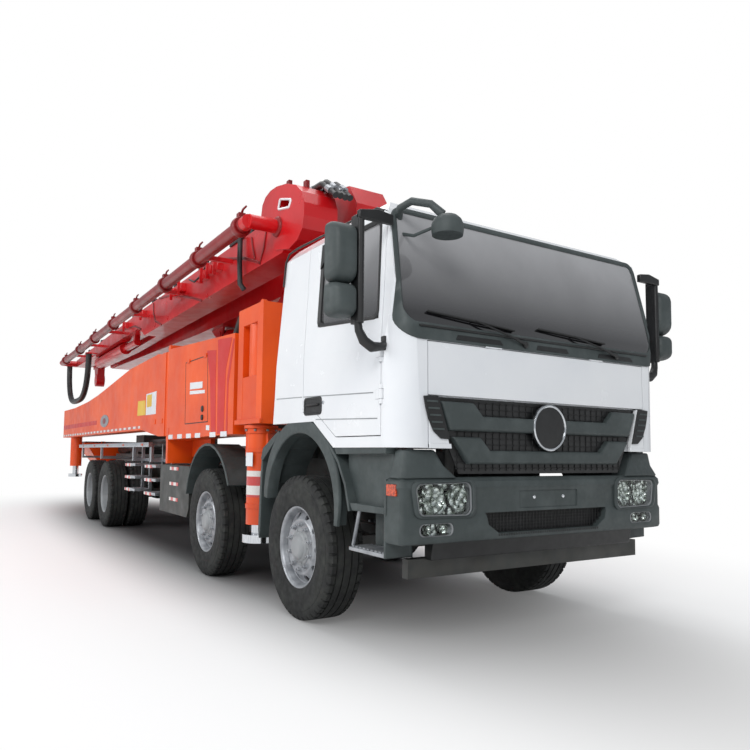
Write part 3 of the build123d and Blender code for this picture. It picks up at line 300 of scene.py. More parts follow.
def faceted(name, glint_tint, facet_shade_tint):
    """Lamp reflector pressed into many small facets, which break up what it shows, with painted glints and
    painted shade on its facets.
    """
    made = Finish(name, 0.12, metal=1.0)
    cells = made.node("ShaderNodeTexVoronoi", Scale=26, Vector=made.place).outputs["Distance"]
    # Painted glints and shade: each facet's colour lies between a bright and a dull tint.
    made.colour(made.mix(made.spread(cells, 0.25, 0.75), glint_tint, facet_shade_tint))
    made.roughness(made.spread(made.noise(9), 0.3, 0.7, 0.08, 0.2))
    made.bump(cells, 1.0, 0.02)
    return made.material


def banded(name, first, second, pitch, axis):
    """Reflective tape in two colours that take turns along one axis."""
    made = Finish(name, 0.35, coat=0.4)
    along = made.node("ShaderNodeSeparateXYZ", Vector=made.place).outputs[axis]
    turns = made.times(along, 1 / pitch)
    part = made.node("ShaderNodeMath", operation="FRACT")
    made.feed(part, 0, turns)
    step = made.spread(part.outputs[0], 0.49, 0.51)
    cells = made.node("ShaderNodeTexVoronoi", Scale=160, Vector=made.place).outputs["Distance"]
    made.colour(made.mix(made.times(cells, 0.3), made.mix(step, first, second), tint(150, 140, 136)))
    made.bump(cells, 0.2)
    return made.material


def finishes():
    white = paint("white_paint", tint(236, 238, 240), tint(226, 229, 233), 0.22, 0.6, dust=0.12)
    orange = paint("orange_paint_fine", tint(236, 88, 6), tint(214, 68, 2), 0.42, 0.12, dust=0.3)
    red = paint("boom_paint", tint(206, 10, 20), tint(176, 4, 12), 0.34, 0.25, dust=0.0)
    return {
        "cab_white": white,
        "orange_paint": orange,
        "boom_red": red,
        "dark_plastic": plastic("moulded_dark", tint(58, 66, 66), tint(74, 82, 82)),
        "interior_grey": plastic("interior_cloth", tint(60, 60, 64), tint(78, 78, 82), 0.8),
        "chassis_grey": paint("chassis_paint", tint(42, 46, 44), tint(30, 33, 32), 0.5, 0.1, dust=0.2),
        "cast_dark": paint("cast_paint", tint(38, 39, 41), tint(26, 27, 29), 0.6, 0.0, dust=0.4),
        "window_glass": tinted_glass("dark_glass", 2.85, 2.12, tint(22, 21, 24), tint(176, 176, 178)),
        "lamp_glass": clear_glass("lamp_cover"),
        "silver_rail": metal("rail_silver", tint(206, 210, 214), tint(168, 172, 178), 0.35,
                             lines=(0.4, 20, 60)),
        "hose_rubber": rubber("hose_black", tint(28, 28, 30), tint(46, 45, 44), 0.5),
        "chrome_rod": metal("chrome", tint(222, 225, 228), tint(188, 192, 198), 0.14, lines=(30, 30, 1)),
        "tyre_rubber": rubber("tyre", tint(27, 28, 28), tint(44, 46, 43), 0.8),
    }


def extra_finishes():
    return {
        "rim": metal("rim_paint", tint(168, 171, 175), tint(128, 131, 136), 0.38, 0.55, (1, 1, 1)),
        "rim_dark": paint("rim_grey", tint(150, 153, 155), tint(108, 111, 114), 0.45, 0.1, dust=0.0),
        "black": plastic("black_plastic", tint(20, 21, 22), tint(32, 33, 34), 0.45, grain=0.05),
        "facets": faceted("lamp_facets", tint(226, 230, 226), tint(120, 128, 118)),
        # Grey for the body's creases is painted shade.
        "crease": paint("door_seam", tint(150, 154, 156), tint(132, 136, 138), 0.4, 0.1, edge=0, dust=0.0),
        "dark_red": paint("dark_red_paint", tint(138, 6, 10), tint(104, 4, 8), 0.4, 0.2, dust=0.0),
        "amber": lit_lens("amber_lens", tint(228, 84, 26), tint(150, 40, 12)),
        "mirror_glass": metal("mirror_face", tint(150, 156, 162), tint(120, 126, 132), 0.05, lines=(1, 1, 1)),
        "yellow": paint("plate_yellow", tint(236, 196, 30), tint(214, 170, 20), 0.4, 0.3, dust=0.1),
        "stripe": paint("stripe_paint", tint(204, 26, 14), tint(188, 18, 10), 0.42, 0.12, dust=0.1),
        "tape_arm": banded("arm_red_white", tint(206, 60, 24), tint(232, 226, 220), 0.30, "X"),
        "tape_step": banded("step_red_white", tint(206, 30, 32), tint(226, 224, 222), 0.20, "X"),
        "tape_leg": banded("leg_red_white", tint(196, 26, 24), tint(224, 220, 216), 0.16, "Z"),
    }


SKINS = finishes()
EXTRAS = extra_finishes()


# Meshes
def placed(axis, along, a, b):
    """A point from its place along one axis and the two other coordinates, in x, y, z order."""
    return {"x": (along, a, b), "y": (a, along, b), "z": (a, b, along)}[axis]


class Form:
    """Gathers the faces of one piece."""

    def __init__(self):
        self.points = []
        self.faces = []

    def rings(self, rings, around=True, caps=True, shut=False):
        """A skin over rings of points, all with the same count."""
        start, count, total = len(self.points), len(rings[0]), len(rings)
        for ring in rings:
            self.points += [tuple(point) for point in ring]
        for r in range(total if shut else total - 1):
            a, b = start + r * count, start + (r + 1) % total * count
            for n in range(count if around else count - 1):
                m = (n + 1) % count
                self.faces.append((a + n, a + m, b + m, b + n))
        if caps and not shut:
            self.faces.append(tuple(range(start + count - 1, start - 1, -1)))
            self.faces.append(tuple(range(start + (total - 1) * count, start + total * count)))
        return self

    def prism(self, outline, axis, low, high):
        """An outline of the two other coordinates, in x, y, z order, pushed from low to high along an axis."""
        return self.rings([[placed(axis, level, a, b) for a, b in outline] for level in (low, high)])

    def box(self, xs, ys, zs):
        return self.prism([(xs[0], zs[0]), (xs[1], zs[0]), (xs[1], zs[1]), (xs[0], zs[1])], "y", *ys)

    def turn(self, profile, centre=(0, 0, 0), axis="y", steps=48, whole=True):
        """A (distance along the axis, radius) profile turned about an axis through centre."""
        rings = []
        for n in range(steps):
            angle = tau * n / steps
            ring = [placed(axis, d, r * cos(angle), r * sin(angle)) for d, r in profile]
            rings.append([tuple(p + c for p, c in zip(point, centre)) for point in ring])
        return self.rings(rings, around=whole, shut=True)

    def tube(self, path, radius, sides=10, shut=False):
        """A round bar along a path of points; radius may be a list."""
        path = [Vector(point) for point in path]
        total = len(path)
        side = None
        rings = []
        for n, point in enumerate(path):
            before = path[(n - 1) % total] if n or shut else point
            after = path[(n + 1) % total] if n < total - 1 or shut else point
            ahead = (after - before).normalized()
            if side is None:
                side = ahead.orthogonal().normalized()
            side = (side - ahead * side.dot(ahead)).normalized()
            other = ahead.cross(side)
            size = radius[n] if isinstance(radius, (list, tuple)) else radius
            rings.append([point + (side * cos(tau * k / sides) + other * sin(tau * k / sides)) * size
                          for k in range(sides)])
        return self.rings(rings, caps=not shut, shut=shut)

    def add(self, other):
        start = len(self.points)
        self.points += other.points
        self.faces += [tuple(start + n for n in face) for face in other.faces]
        return self

    def sided(self, side):
        """The form as it is on the left, and its mirror image on the right."""
        if side < 0:
            self.points = [(x, -y, z) for x, y, z in self.points]
        return self

    def both(self):
        """Adds the mirror image across the vehicle."""
        start = len(self.points)
        self.points += [(x, -y, z) for x, y, z in self.points]
        self.faces += [tuple(start + n for n in reversed(face)) for face in self.faces]
        return self


def mesh_of(form, name, sharp=38):
    mesh = bpy.data.meshes.new(name)
    mesh.from_pydata(form.points, [], form.faces)
    shape = bmesh.new()
    shape.from_mesh(mesh)
    bmesh.ops.remove_doubles(shape, verts=shape.verts, dist=1e-5)
    bmesh.ops.recalc_face_normals(shape, faces=shape.faces)
    shape.to_mesh(mesh)
    shape.free()
    mesh.polygons.foreach_set("use_smooth", [True] * len(mesh.polygons))
    mesh.set_sharp_from_angle(angle=radians(sharp))
    return mesh


def show(name, data, body, finish, offset=(AXLE, 0, 0), turned=0.0, bevel=0.0, replaces=()):
    """Puts a form or a mesh in the scene, on its body, in its finish."""
    if isinstance(data, Form):
        data = mesh_of(data, name)
    item = bpy.data.objects.new(name, data)
    bpy.context.scene.collection.objects.link(item)
    item.location = offset
    item.rotation_euler = (0, 0, turned)
    if not data.materials:
        data.materials.append(SKINS.get(finish) or EXTRAS[finish])
    if bevel:
        round_off = item.modifiers.new("edges", "BEVEL")
        round_off.width = bevel
        round_off.segments = 2
        round_off.limit_method = "ANGLE"
        round_off.angle_limit = radians(35)
    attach(item, body)
    if replaces:
        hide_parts(*replaces)
    return item


def cut(form, cutter, name, sharp=38):
    """The mesh of one form minus another."""
    main = bpy.data.objects.new(name, mesh_of(form, name))
    tool = bpy.data.objects.new(name + "_cut", mesh_of(cutter, name + "_cut"))
    for item in (main, tool):
        bpy.context.scene.collection.objects.link(item)
    carve = main.modifiers.new("carve", "BOOLEAN")
    carve.operation = "DIFFERENCE"
    carve.object = tool
    carve.solver = "EXACT"
    bpy.context.view_layer.update()
    mesh = bpy.data.meshes.new_from_object(main.evaluated_get(bpy.context.evaluated_depsgraph_get()))
    for item in (main, tool):
        old = item.data
        bpy.data.objects.remove(item)
        bpy.data.meshes.remove(old)
    mesh.name = name
    mesh.materials.clear()
    mesh.polygons.foreach_set("use_smooth", [True] * len(mesh.polygons))
    mesh.set_sharp_from_angle(angle=radians(sharp))
    return mesh


# Outlines laid on a surface
def round_outline(corners, steps=5):
    """An outline of (a, b, radius) corners with round corners."""
    points = []
    count = len(corners)
    for n in range(count):
        a = Vector(corners[n][:2])
        radius = corners[n][2]
        before = (Vector(corners[n - 1][:2]) - a).normalized()
        after = (Vector(corners[(n + 1) % count][:2]) - a).normalized()
        half = before.angle(after) / 2
        if radius == 0 or half > 1.5:
            points.append(tuple(a))
            continue
        reach = radius * cos(half) / sin(half)
        centre = a + (before + after).normalized() * (radius / sin(half))
        start = a + before * reach - centre
        end = a + after * reach - centre
        sweep = start.angle_signed(end)
        for k in range(steps + 1):
            points.append(tuple(centre + Matrix.Rotation(-sweep * k / steps, 2) @ start))
    return points


def round_box(firsts, seconds, radius, steps=5):
    """A rectangle with round corners, between two values of each coordinate."""
    (a, b), (c, d) = firsts, seconds
    return round_outline([(a, c, radius), (b, c, radius), (b, d, radius), (a, d, radius)], steps)


def between(first, second, share):
    return tuple(a + (b - a) * share for a, b in zip(first, second))


def scaled(outline, share, centre):
    return [between(centre, point, share) for point in outline]


def middle_of(outline):
    return tuple(sum(values) / len(outline) for values in zip(*outline))


def ellipse(centre, half_a, half_b, steps):
    angles = [tau * n / steps for n in range(steps)]
    return [(centre[0] + half_a * cos(angle), centre[1] + half_b * sin(angle)) for angle in angles]


def layers(surface, *rings):
    """Rings for a form: each is an outline laid on a surface, and the lift off it."""
    return [[surface(a, b, lift) for a, b in outline] for outline, lift in rings]


def flat(levels, outline):
    """Rings for a form: one outline of (y, z) at each level of x."""
    return [[(x, y, z) for y, z in outline] for x in levels]


# Wheels
WHEEL_Z = 0.54
WHEEL_YS = {"steered": 1.08, "twin": 0.935}
TWIN_OFFSET = 0.165
TYRE_OFFSETS = {"steered": (0,), "twin": (TWIN_OFFSET, -TWIN_OFFSET)}
RIM_FINISHES = {"steered": "rim", "twin": "rim_dark"}
NUT_YS = {"steered": 0.104, "twin": 0.014}
NUTS = 10
NUT_CIRCLE, NUT_SIZE, NUT_HEIGHT = 0.1675, 0.016, 0.024
TREAD_PITCHES = 46


def tyre_form():
    """Truck tyre with four grooves round the crown and open shoulder blocks."""
    side = [(0.112, 0.290), (0.126, 0.297), (0.133, 0.312), (0.139, 0.318), (0.1395, 0.330), (0.144, 0.345),
            (0.149, 0.385), (0.150, 0.42), (0.1485, 0.455), (0.1475, 0.47), (0.1445, 0.474), (0.1445, 0.492),
            (0.140, 0.507)]
    crown = [(0.134, 0.522, 0.010), (0.122, 0.5385, 0.013), (0.092, 0.540, 0.013), (0.0915, 0.526, 0),
             (0.0805, 0.526, 0), (0.080, 0.540, 0), (0.036, 0.540, 0), (0.0355, 0.526, 0), (0.0245, 0.526, 0),
             (0.024, 0.540, 0)]
    rings = []
    for n in range(TREAD_PITCHES):
        for share, low in ((0.0, 0), (0.70, 0), (0.75, 1), (0.95, 1)):
            angle = tau * (n + share) / TREAD_PITCHES
            half = side + [(y, r - low * depth) for y, r, depth in crown]
            section = half + [(-y, r) for y, r in reversed(half)]
            rings.append([(r * cos(angle), y, r * sin(angle)) for y, r in section])
    return Form().rings(rings, around=False, shut=True)


def nuts(y):
    """Wheel nuts on round washers, each with its stud end."""
    form = Form()
    size, height = NUT_SIZE, NUT_HEIGHT
    for n in range(NUTS):
        angle = tau * (n + 0.5) / NUTS
        centre = (NUT_CIRCLE * cos(angle), y, NUT_CIRCLE * sin(angle))
        form.turn([(0, 0), (0, size * 1.35), (0.004, size * 1.3), (0.004, 0)], centre, steps=14, whole=False)
        form.turn([(0.003, size), (height, size * 0.94), (height + 0.002, size * 0.6), (height + 0.002, 0)],
                  centre, steps=6, whole=False)
        form.turn([(height, size * 0.45), (height + 0.014, size * 0.4), (height + 0.014, 0)],
                  centre, steps=8, whole=False)
    return form


def holes(radius, size, scale):
    """Ten oval bars that cut the hand holes of a rim, longer round the rim by scale."""
    form = Form()
    for n in range(10):
        angle = tau * n / 10
        outline = [(radius * cos(angle) + u * cos(angle) - v * sin(angle),
                    radius * sin(angle) + u * sin(angle) + v * cos(angle))
                   for u, v in ellipse((0, 0), size, size * scale, 16)]
        form.prism(outline, "y", -0.4, 0.4)
    return form


def steered_rim():
    face = [(0.118, 0.290), (0.118, 0.3055), (0.127, 0.3085), (0.132, 0.305), (0.131, 0.297), (0.124, 0.288),
            (0.108, 0.281), (0.094, 0.279), (0.086, 0.274), (0.068, 0.271), (0.064, 0.266), (0.068, 0.260),
            (0.086, 0.236), (0.100, 0.216), (0.107, 0.208), (0.108, 0.200), (0.104, 0.193), (0.104, 0.140)]
    back = [(0.094, 0.140), (0.094, 0.198), (0.055, 0.262), (0.020, 0.272), (-0.10, 0.279), (-0.126, 0.285),
            (-0.130, 0.305), (-0.118, 0.306), (-0.118, 0.290)]
    return cut(Form().turn(face + back, steps=80), holes(0.240, 0.024, 1.15), "rim_steered")


def steered_hub():
    form = Form().turn([(0.0, 0.142), (0.106, 0.142), (0.110, 0.132), (0.110, 0.118), (0.118, 0.112),
                        (0.124, 0.098), (0.136, 0.092), (0.142, 0.080), (0.148, 0.074), (0.150, 0.060),
                        (0.1505, 0.0), (0.0, 0.0)], whole=False)
    for x, z in ellipse((0, 0), 0.124, 0.124, 10):
        form.turn([(0.110, 0.006), (0.117, 0.0055), (0.117, 0)], (x, 0, z), steps=6, whole=False)
    return form


def twin_rim():
    out = TWIN_OFFSET
    face = [(out + 0.118, 0.290), (out + 0.118, 0.3055), (out + 0.127, 0.3085), (out + 0.132, 0.305),
            (out + 0.131, 0.297), (out + 0.122, 0.286), (out + 0.10, 0.279), (out + 0.03, 0.277),
            (out - 0.01, 0.262), (0.05, 0.258), (0.024, 0.256), (0.016, 0.250), (0.018, 0.242), (0.040, 0.215),
            (0.046, 0.200), (0.040, 0.190), (0.016, 0.184), (0.014, 0.110)]
    back = [(-y, r) for y, r in reversed(face)]
    return cut(Form().turn(face + back, steps=72), holes(0.222, 0.021, 1.2), "rim_twin")


def twin_hub():
    return Form().turn([(0.0, 0.135), (0.030, 0.135), (0.036, 0.120), (0.120, 0.112), (0.150, 0.116),
                        (0.160, 0.118), (0.176, 0.118), (0.182, 0.112), (0.186, 0.090), (0.200, 0.084),
                        (0.206, 0.070), (0.207, 0.0), (0.0, 0.0)], whole=False)


def wheels():
    tyre = mesh_of(tyre_form(), "tyre", 32)
    tyre.materials.append(SKINS["tyre_rubber"])
    rims = {"steered": steered_rim(), "twin": twin_rim()}
    hubs = {"steered": mesh_of(steered_hub(), "hub_steered"), "twin": mesh_of(twin_hub(), "hub_twin")}
    studs = {kind: mesh_of(nuts(y), f"nuts_{kind}") for kind, y in NUT_YS.items()}
    for number, x in enumerate(AXLES, 1):
        kind = "steered" if number < 3 else "twin"
        for name, side in SIDES.items():
            tag = f"{number}_{name}"
            body = f"road_wheel_{tag}"
            turned = 0 if side > 0 else pi
            place = (x + AXLE, side * WHEEL_YS[kind], WHEEL_Z)
            show(f"rim_{tag}", rims[kind], body, RIM_FINISHES[kind], place, turned, replaces=[f"wheel_{tag}"])
            show(f"hub_{tag}", hubs[kind], body, "rim_dark", place, turned)
            show(f"nuts_{tag}", studs[kind], body, "rim", place, turned)
            for k, offset in enumerate(TYRE_OFFSETS[kind]):
                tyre_place = (x + AXLE, side * (WHEEL_YS[kind] + offset), WHEEL_Z)
                show(f"tyre_{tag}_{k}", tyre, body, "tyre_rubber", tyre_place, turned)


# Cab
BELT = 1.95
ABOVE_BELT = 0.85
CORNER_X, CORNER_Y, CORNER_RADIUS = 1.20, 1.06, 0.19
GLASS_LOW, GLASS_HIGH, GLASS_CORNER = 2.052, 2.793, 0.10
WIPER_Z = 1.995


def face_x(y, z):
    """The cab's front surface: a raked plane above the belt, round corners towards the sides."""
    raked = 1.39 - 0.01 * (z - 1.29) / 0.66 if z < BELT else 1.38 - 0.19 * (z - BELT) / ABOVE_BELT
    beyond = abs(y) - CORNER_Y
    if beyond <= 0:
        return raked
    return min(raked, CORNER_X + sqrt(max(0.0, CORNER_RADIUS ** 2 - beyond ** 2)))


def side_y(z):
    return 1.25 if z < BELT else 1.25 - 0.045 * (z - BELT) / ABOVE_BELT


def on_front(y, z, lift):
    return (face_x(y, z) + lift, y, z)


def screen_outline(grow, low_grow):
    """Outline of the windshield on the cab's front, made larger by grow, and by low_grow at its foot."""
    low, high = 2.060 - low_grow, 2.785 + grow
    foot, top = 1.205 + grow, 1.158 + grow
    corners = round_outline([(-foot, low, 0.10 + grow), (foot, low, 0.10 + grow), (top, high, 0.05 + grow),
                             (-top, high, 0.05 + grow)], 8)
    points = []
    for n, point in enumerate(corners):
        after = corners[(n + 1) % len(corners)]
        count = 40 if n % 9 == 8 else 1
        points += [between(point, after, k / count) for k in range(count)]
    return points


def windshield():
    """Wrap-round pane with round corners, its rubber frame and the vents below it."""
    rows, columns = 16, 44
    grid = []
    for r in range(rows + 1):
        z = GLASS_LOW + (GLASS_HIGH - GLASS_LOW) * (0.5 - 0.5 * cos(pi * r / rows))
        half = 1.213 - 0.047 * (z - GLASS_LOW) / (GLASS_HIGH - GLASS_LOW)
        for edge in (z - GLASS_LOW, GLASS_HIGH - z):
            if edge < GLASS_CORNER:
                half -= GLASS_CORNER - sqrt(max(0, GLASS_CORNER ** 2 - (GLASS_CORNER - edge) ** 2))
        grid.append([on_front(half * sin(pi * (c / columns - 0.5)), z, 0.004) for c in range(columns + 1)])
    form = Form().rings(grid, around=False, caps=False)
    pane = show("windshield_pane", form, "truck", "window_glass", replaces=["windshield"])
    thick = pane.modifiers.new("thickness", "SOLIDIFY")
    thick.thickness = 0.005
    inner, middle, outer = screen_outline(0.0, 0.0), screen_outline(0.012, 0.03), screen_outline(0.036, 0.108)
    ring = layers(on_front, (outer, -0.006), (outer, 0.010), (middle, 0.016), (inner, 0.010), (inner, -0.002))
    show("windshield_frame", Form().rings(ring, caps=False, shut=True), "truck", "dark_plastic")
    details = Form()
    for y, half in ((-0.62, 0.20), (0.05, 0.16), (0.72, 0.20)):
        vent = [(y - half, 1.972), (y + half, 1.972), (y + half * 0.9, 2.004), (y - half * 0.9, 2.004)]
        details.rings(layers(on_front, (vent, 0.004), (vent, 0.0165)))
    seam = [n * 0.11 - 1.1 for n in range(21)]
    details.tube([(face_x(y, 2.03) + 0.018, y, 2.036) for y in seam], 0.008, 8)
    show("cowl_vents", details, "truck", "black", bevel=0.002)


def wiper(name, pivot_y, tip, blade):
    """A wiper arm from its pivot to the middle of a blade that lies on the glass."""
    form = Form().turn([(0, 0), (0, 0.024), (0.03, 0.022), (0.038, 0.012), (0.038, 0)],
                       on_front(pivot_y, WIPER_Z, 0.0), "x", 16, False)
    knee = between((pivot_y, WIPER_Z), tip, 1 / 3)
    form.tube([on_front(pivot_y, WIPER_Z, 0.03), on_front(*knee, 0.045), on_front(*tip, 0.036)],
              [0.012, 0.008, 0.005], 8)
    steps = [between(*blade, n / 8) for n in range(9)]
    form.tube([on_front(y, z, 0.022 + 0.008 * sin(pi * n / 8)) for n, (y, z) in enumerate(steps)], 0.0065, 8)
    form.tube([on_front(y, z, 0.010) for y, z in steps], 0.005, 6)
    for n in (1, 4, 7):
        form.tube([on_front(*steps[n], lift) for lift in (0.010, 0.030)], 0.006, 6)
    show(name, form, "truck", "black")


def grille_bar(form, ends, middle, low, outer, knee, foot):
    """A thick bar from height low up to middle, with raised ends up to ends."""
    outline = [(-outer, ends), (-knee - 0.08, ends), (-knee, middle), (knee, middle), (knee + 0.08, ends),
               (outer, ends), (foot, low), (-foot, low)]
    inner = [(y * 0.985, z + (0.014 if n > 5 else -0.014)) for n, (y, z) in enumerate(outline)]
    form.rings(flat((1.346, 1.384), outline) + flat((1.397,), inner))


def grille_front():
    """Two thick bars with raised ends over dark recesses, side vents, and a plain ring in the middle."""
    form = Form().prism([(-0.77, 1.13), (0.77, 1.13), (1.0, 1.606), (-1.0, 1.606)], "x", 1.342, 1.352)
    show("grille_back", form, "front_panel", "black", replaces=["grille"])
    bars = Form()
    grille_bar(bars, 1.580, 1.497, 1.400, 0.935, 0.60, 0.865)
    grille_bar(bars, 1.362, 1.280, 1.192, 0.845, 0.54, 0.715)
    show("grille_bars", bars, "front_panel", "dark_plastic", bevel=0.006)
    vents, corners, slats = Form(), Form(), Form()
    vent = [(0.967, 1.612), (1.078, 1.604), (1.066, 1.54), (1.045, 1.47), (1.005, 1.392), (0.948, 1.348),
            (0.880, 1.345)]
    edge = [(0.958, 1.608), (1.033, 1.608), (1.033, 1.292), (0.868, 1.292)]
    foot = [(0.865, 1.318), (1.033, 1.318), (1.033, 1.288), (0.860, 1.288)]
    vents.rings(layers(on_front, (vent, 0.004), (vent, 0.014)))
    corners.rings(layers(on_front, (edge, -0.03), (edge, 0.002)))
    corners.rings(layers(on_front, (foot, -0.02), (foot, 0.008)))
    for n in range(5):
        y, z = 0.925 + 0.012 * n, 1.40 + 0.042 * n
        slat = [(y, z), (y + 0.085, z), (y + 0.087, z + 0.012), (y + 0.002, z + 0.012)]
        slats.rings(layers(on_front, (slat, 0.010), (slat, 0.018)))
    show("grille_vents", vents.both(), "front_panel", "black", bevel=0.003)
    show("grille_corners", corners.both(), "front_panel", "cab_white", bevel=0.003)
    show("grille_slats", slats.both(), "front_panel", "dark_plastic")
    middle = (0, 0, 1.44)
    profile = [(1.385, 0.160), (1.404, 0.158), (1.410, 0.150), (1.404, 0.142), (1.396, 0.140)]
    show("grille_ring", Form().turn(profile, middle, "x", 56), "front_panel", "chrome_rod")
    disc = Form().turn([(1.380, 0.142), (1.398, 0.141), (1.4005, 0.08), (1.401, 0)], middle, "x", 48, False)
    show("grille_disc", disc, "front_panel", "black")
    net = Form()
    for n in range(27):
        y = -0.78 + 0.06 * n
        net.box((1.353, 1.357), (y - 0.003, y + 0.003), (1.15, 1.59))
    for n in range(12):
        z = 1.165 + 0.038 * n
        net.box((1.353, 1.357), (-0.8, 0.8), (z - 0.003, z + 0.003))
    show("grille_net", net, "front_panel", "black")


# (x, y) round the bumper's left end, and (inset, height) round its closed section
BUMPER_PLAN = ((1.226, 1.243), (1.345, 1.243), (1.368, 1.238), (1.383, 1.222), (1.389, 1.20), (1.396, 1.12),
               (1.399, 0.95), (1.399, 0.5), (1.399, 0.2))
BUMPER_SECTION = ((0.045, 0.708), (0.010, 0.716), (0.0, 0.735), (0.0, 0.86), (0.010, 0.885), (0.010, 1.03),
                  (0.0, 1.050), (0.006, 1.085), (0.030, 1.108), (0.060, 1.112), (0.062, 1.08), (0.062, 0.73))
MARKER = ((1.245, 1.0), (1.345, 1.0), (1.345, 1.07), (1.245, 1.07))
# Each bowl: y, z and radius
LAMP_BOWLS = ((0.80, 0.985, 0.076), (0.985, 0.975, 0.082), (0.915, 0.797, 0.03), (1.035, 0.797, 0.03))
SHOULDER = (
    (1.105, ((1.245, 1.236), (1.355, 1.236), (1.383, 1.19), (1.392, 0.81), (1.245, 0.81))),
    (1.185, ((1.245, 1.20), (1.325, 1.20), (1.350, 1.165), (1.356, 0.89), (1.245, 0.89))),
    (1.280, ((1.245, 1.185), (1.315, 1.185), (1.338, 1.15), (1.340, 0.95), (1.245, 0.95))),
)


def bumper_form():
    path = list(BUMPER_PLAN) + [(x, -y) for x, y in reversed(BUMPER_PLAN)]
    rings = []
    for n, (x, y) in enumerate(path):
        before = Vector(path[max(0, n - 1)])
        after = Vector(path[min(len(path) - 1, n + 1)])
        ahead = (after - before).normalized()
        inward = Vector((ahead.y, -ahead.x))
        if inward.dot(Vector((1.0 - x, -y))) < 0:
            inward = -inward
        rings.append([(x + inward.x * d, y + inward.y * d, z) for d, z in BUMPER_SECTION])
    return Form().rings(rings)


def bumper():
    """Wrap-round bumper with lamp pockets, a slot and a stepped profile."""
    head = round_outline([(0.692, 0.872, 0.05), (1.112, 0.880, 0.05), (1.142, 1.075, 0.04),
                          (0.70, 1.083, 0.05)])
    fog = round_box((0.845, 1.107), (0.757, 0.836), 0.036)
    slot = [(-0.47, 0.752), (0.47, 0.752), (0.56, 0.81), (0.58, 0.885), (-0.58, 0.885), (-0.56, 0.81)]
    plate = round_box((-0.28, 0.28), (0.905, 1.02), 0.01, 3)
    pockets = Form()
    for side in (-1, 1):
        for outline in (head, fog):
            pockets.prism([(side * y, z) for y, z in outline], "x", 1.0, 1.5)
    pockets.prism(slot, "x", 1.0, 1.5)
    pockets.prism(plate, "x", 1.381, 1.5)
    for side in (-1, 1):
        pockets.prism(MARKER, "y", *sorted((side * 1.236, side * 1.5)))
    mesh = cut(bumper_form(), pockets, "bumper_shell", 30)
    show("bumper_shell", mesh, "truck", "dark_plastic", replaces=["bumper"])
    net = Form()
    for n in range(39):
        y = -0.575 + 0.03 * n
        net.box((1.355, 1.36), (y - 0.002, y + 0.002), (0.745, 0.89))
    for n in range(7):
        z = 0.756 + 0.021 * n
        net.box((1.352, 1.357), (-0.58, 0.58), (z, z + 0.004))
    net.box((1.30, 1.335), (-0.60, 0.60), (0.735, 0.91))
    for n in range(44):
        y = -0.475 + 0.022 * n
        net.box((1.397, 1.402), (y, y + 0.012), (0.736, 0.750))
    show("bumper_net", net, "truck", "black")
    # A black panel under the bumper's foot: it stands for the parts behind it and paints the shade under the
    # cab there.
    under = Form().prism([(1.24, 0.60), (1.31, 0.60), (1.335, 0.73), (1.24, 0.73)], "y", -0.95, 0.95)
    show("bumper_shade_panel", under, "truck", "black", bevel=0.006)
    bolts = Form()
    for y in (-0.14, 0.14):
        bolts.turn([(1.381, 0.014), (1.387, 0.012), (1.389, 0)], (0, y, 0.975), "x", 12, False)
    show("bumper_bolts", bolts, "truck", "chrome_rod")
    shoulder = Form().rings([[(x, y, z) for x, y in plan] for z, plan in SHOULDER])
    show("bumper_shoulders", shoulder.both(), "truck", "dark_plastic", bevel=0.012)
    lens = Form().rings([[(x, y, z) for x, z in MARKER] for y in (1.225, 1.246)])
    show("side_markers", lens.both(), "truck", "amber", bevel=0.004)
    return head, fog


def entry_steps():
    """Lined step wells behind the bumper's ends, with ribbed treads, and the lip under the cab."""
    liner, treads, ribs = Form(), Form(), Form()
    liner.box((0.85, 1.235), (1.04, 1.06), (0.62, 0.93))
    liner.box((0.70, 1.235), (1.165, 1.185), (0.92, 1.26))
    liner.box((1.215, 1.235), (1.04, 1.24), (0.62, 1.10))
    liner.box((0.86, 1.216), (1.045, 1.225), (0.905, 0.925))
    liner.prism([(0.80, 0.93), (1.214, 0.925), (1.214, 0.885), (0.84, 0.88)], "y", 1.215, 1.238)
    liner.prism([(0.60, 1.292), (1.235, 1.292), (1.235, 1.252), (0.63, 1.245)], "y", 1.16, 1.244)
    treads.box((0.80, 1.225), (1.05, 1.235), (0.62, 0.645))
    for n in range(9):
        x = 0.815 + 0.045 * n
        ribs.box((x, x + 0.025), (1.07, 1.22), (0.643, 0.652))
    ribs.tube([(0.80, 1.20, 0.65), (0.88, 1.20, 0.90)], 0.013, 8)
    show("step_wells", liner.both(), "truck", "dark_plastic", bevel=0.004)
    show("step_treads", treads.both(), "truck", "rim", bevel=0.004)
    show("step_ribs", ribs.both(), "truck", "rim")


def arch_edge(angle):
    """Outer and inner edge of the front wheel arch's trim at an angle from the front."""
    outer = 0.60 + 0.115 * max(0, sin(angle)) ** 0.7
    inner = 0.555 + 0.045 * max(0, sin(angle))
    return [(0.06 + r * cos(angle), 0.80 + r * sin(angle)) for r in (outer, inner)]


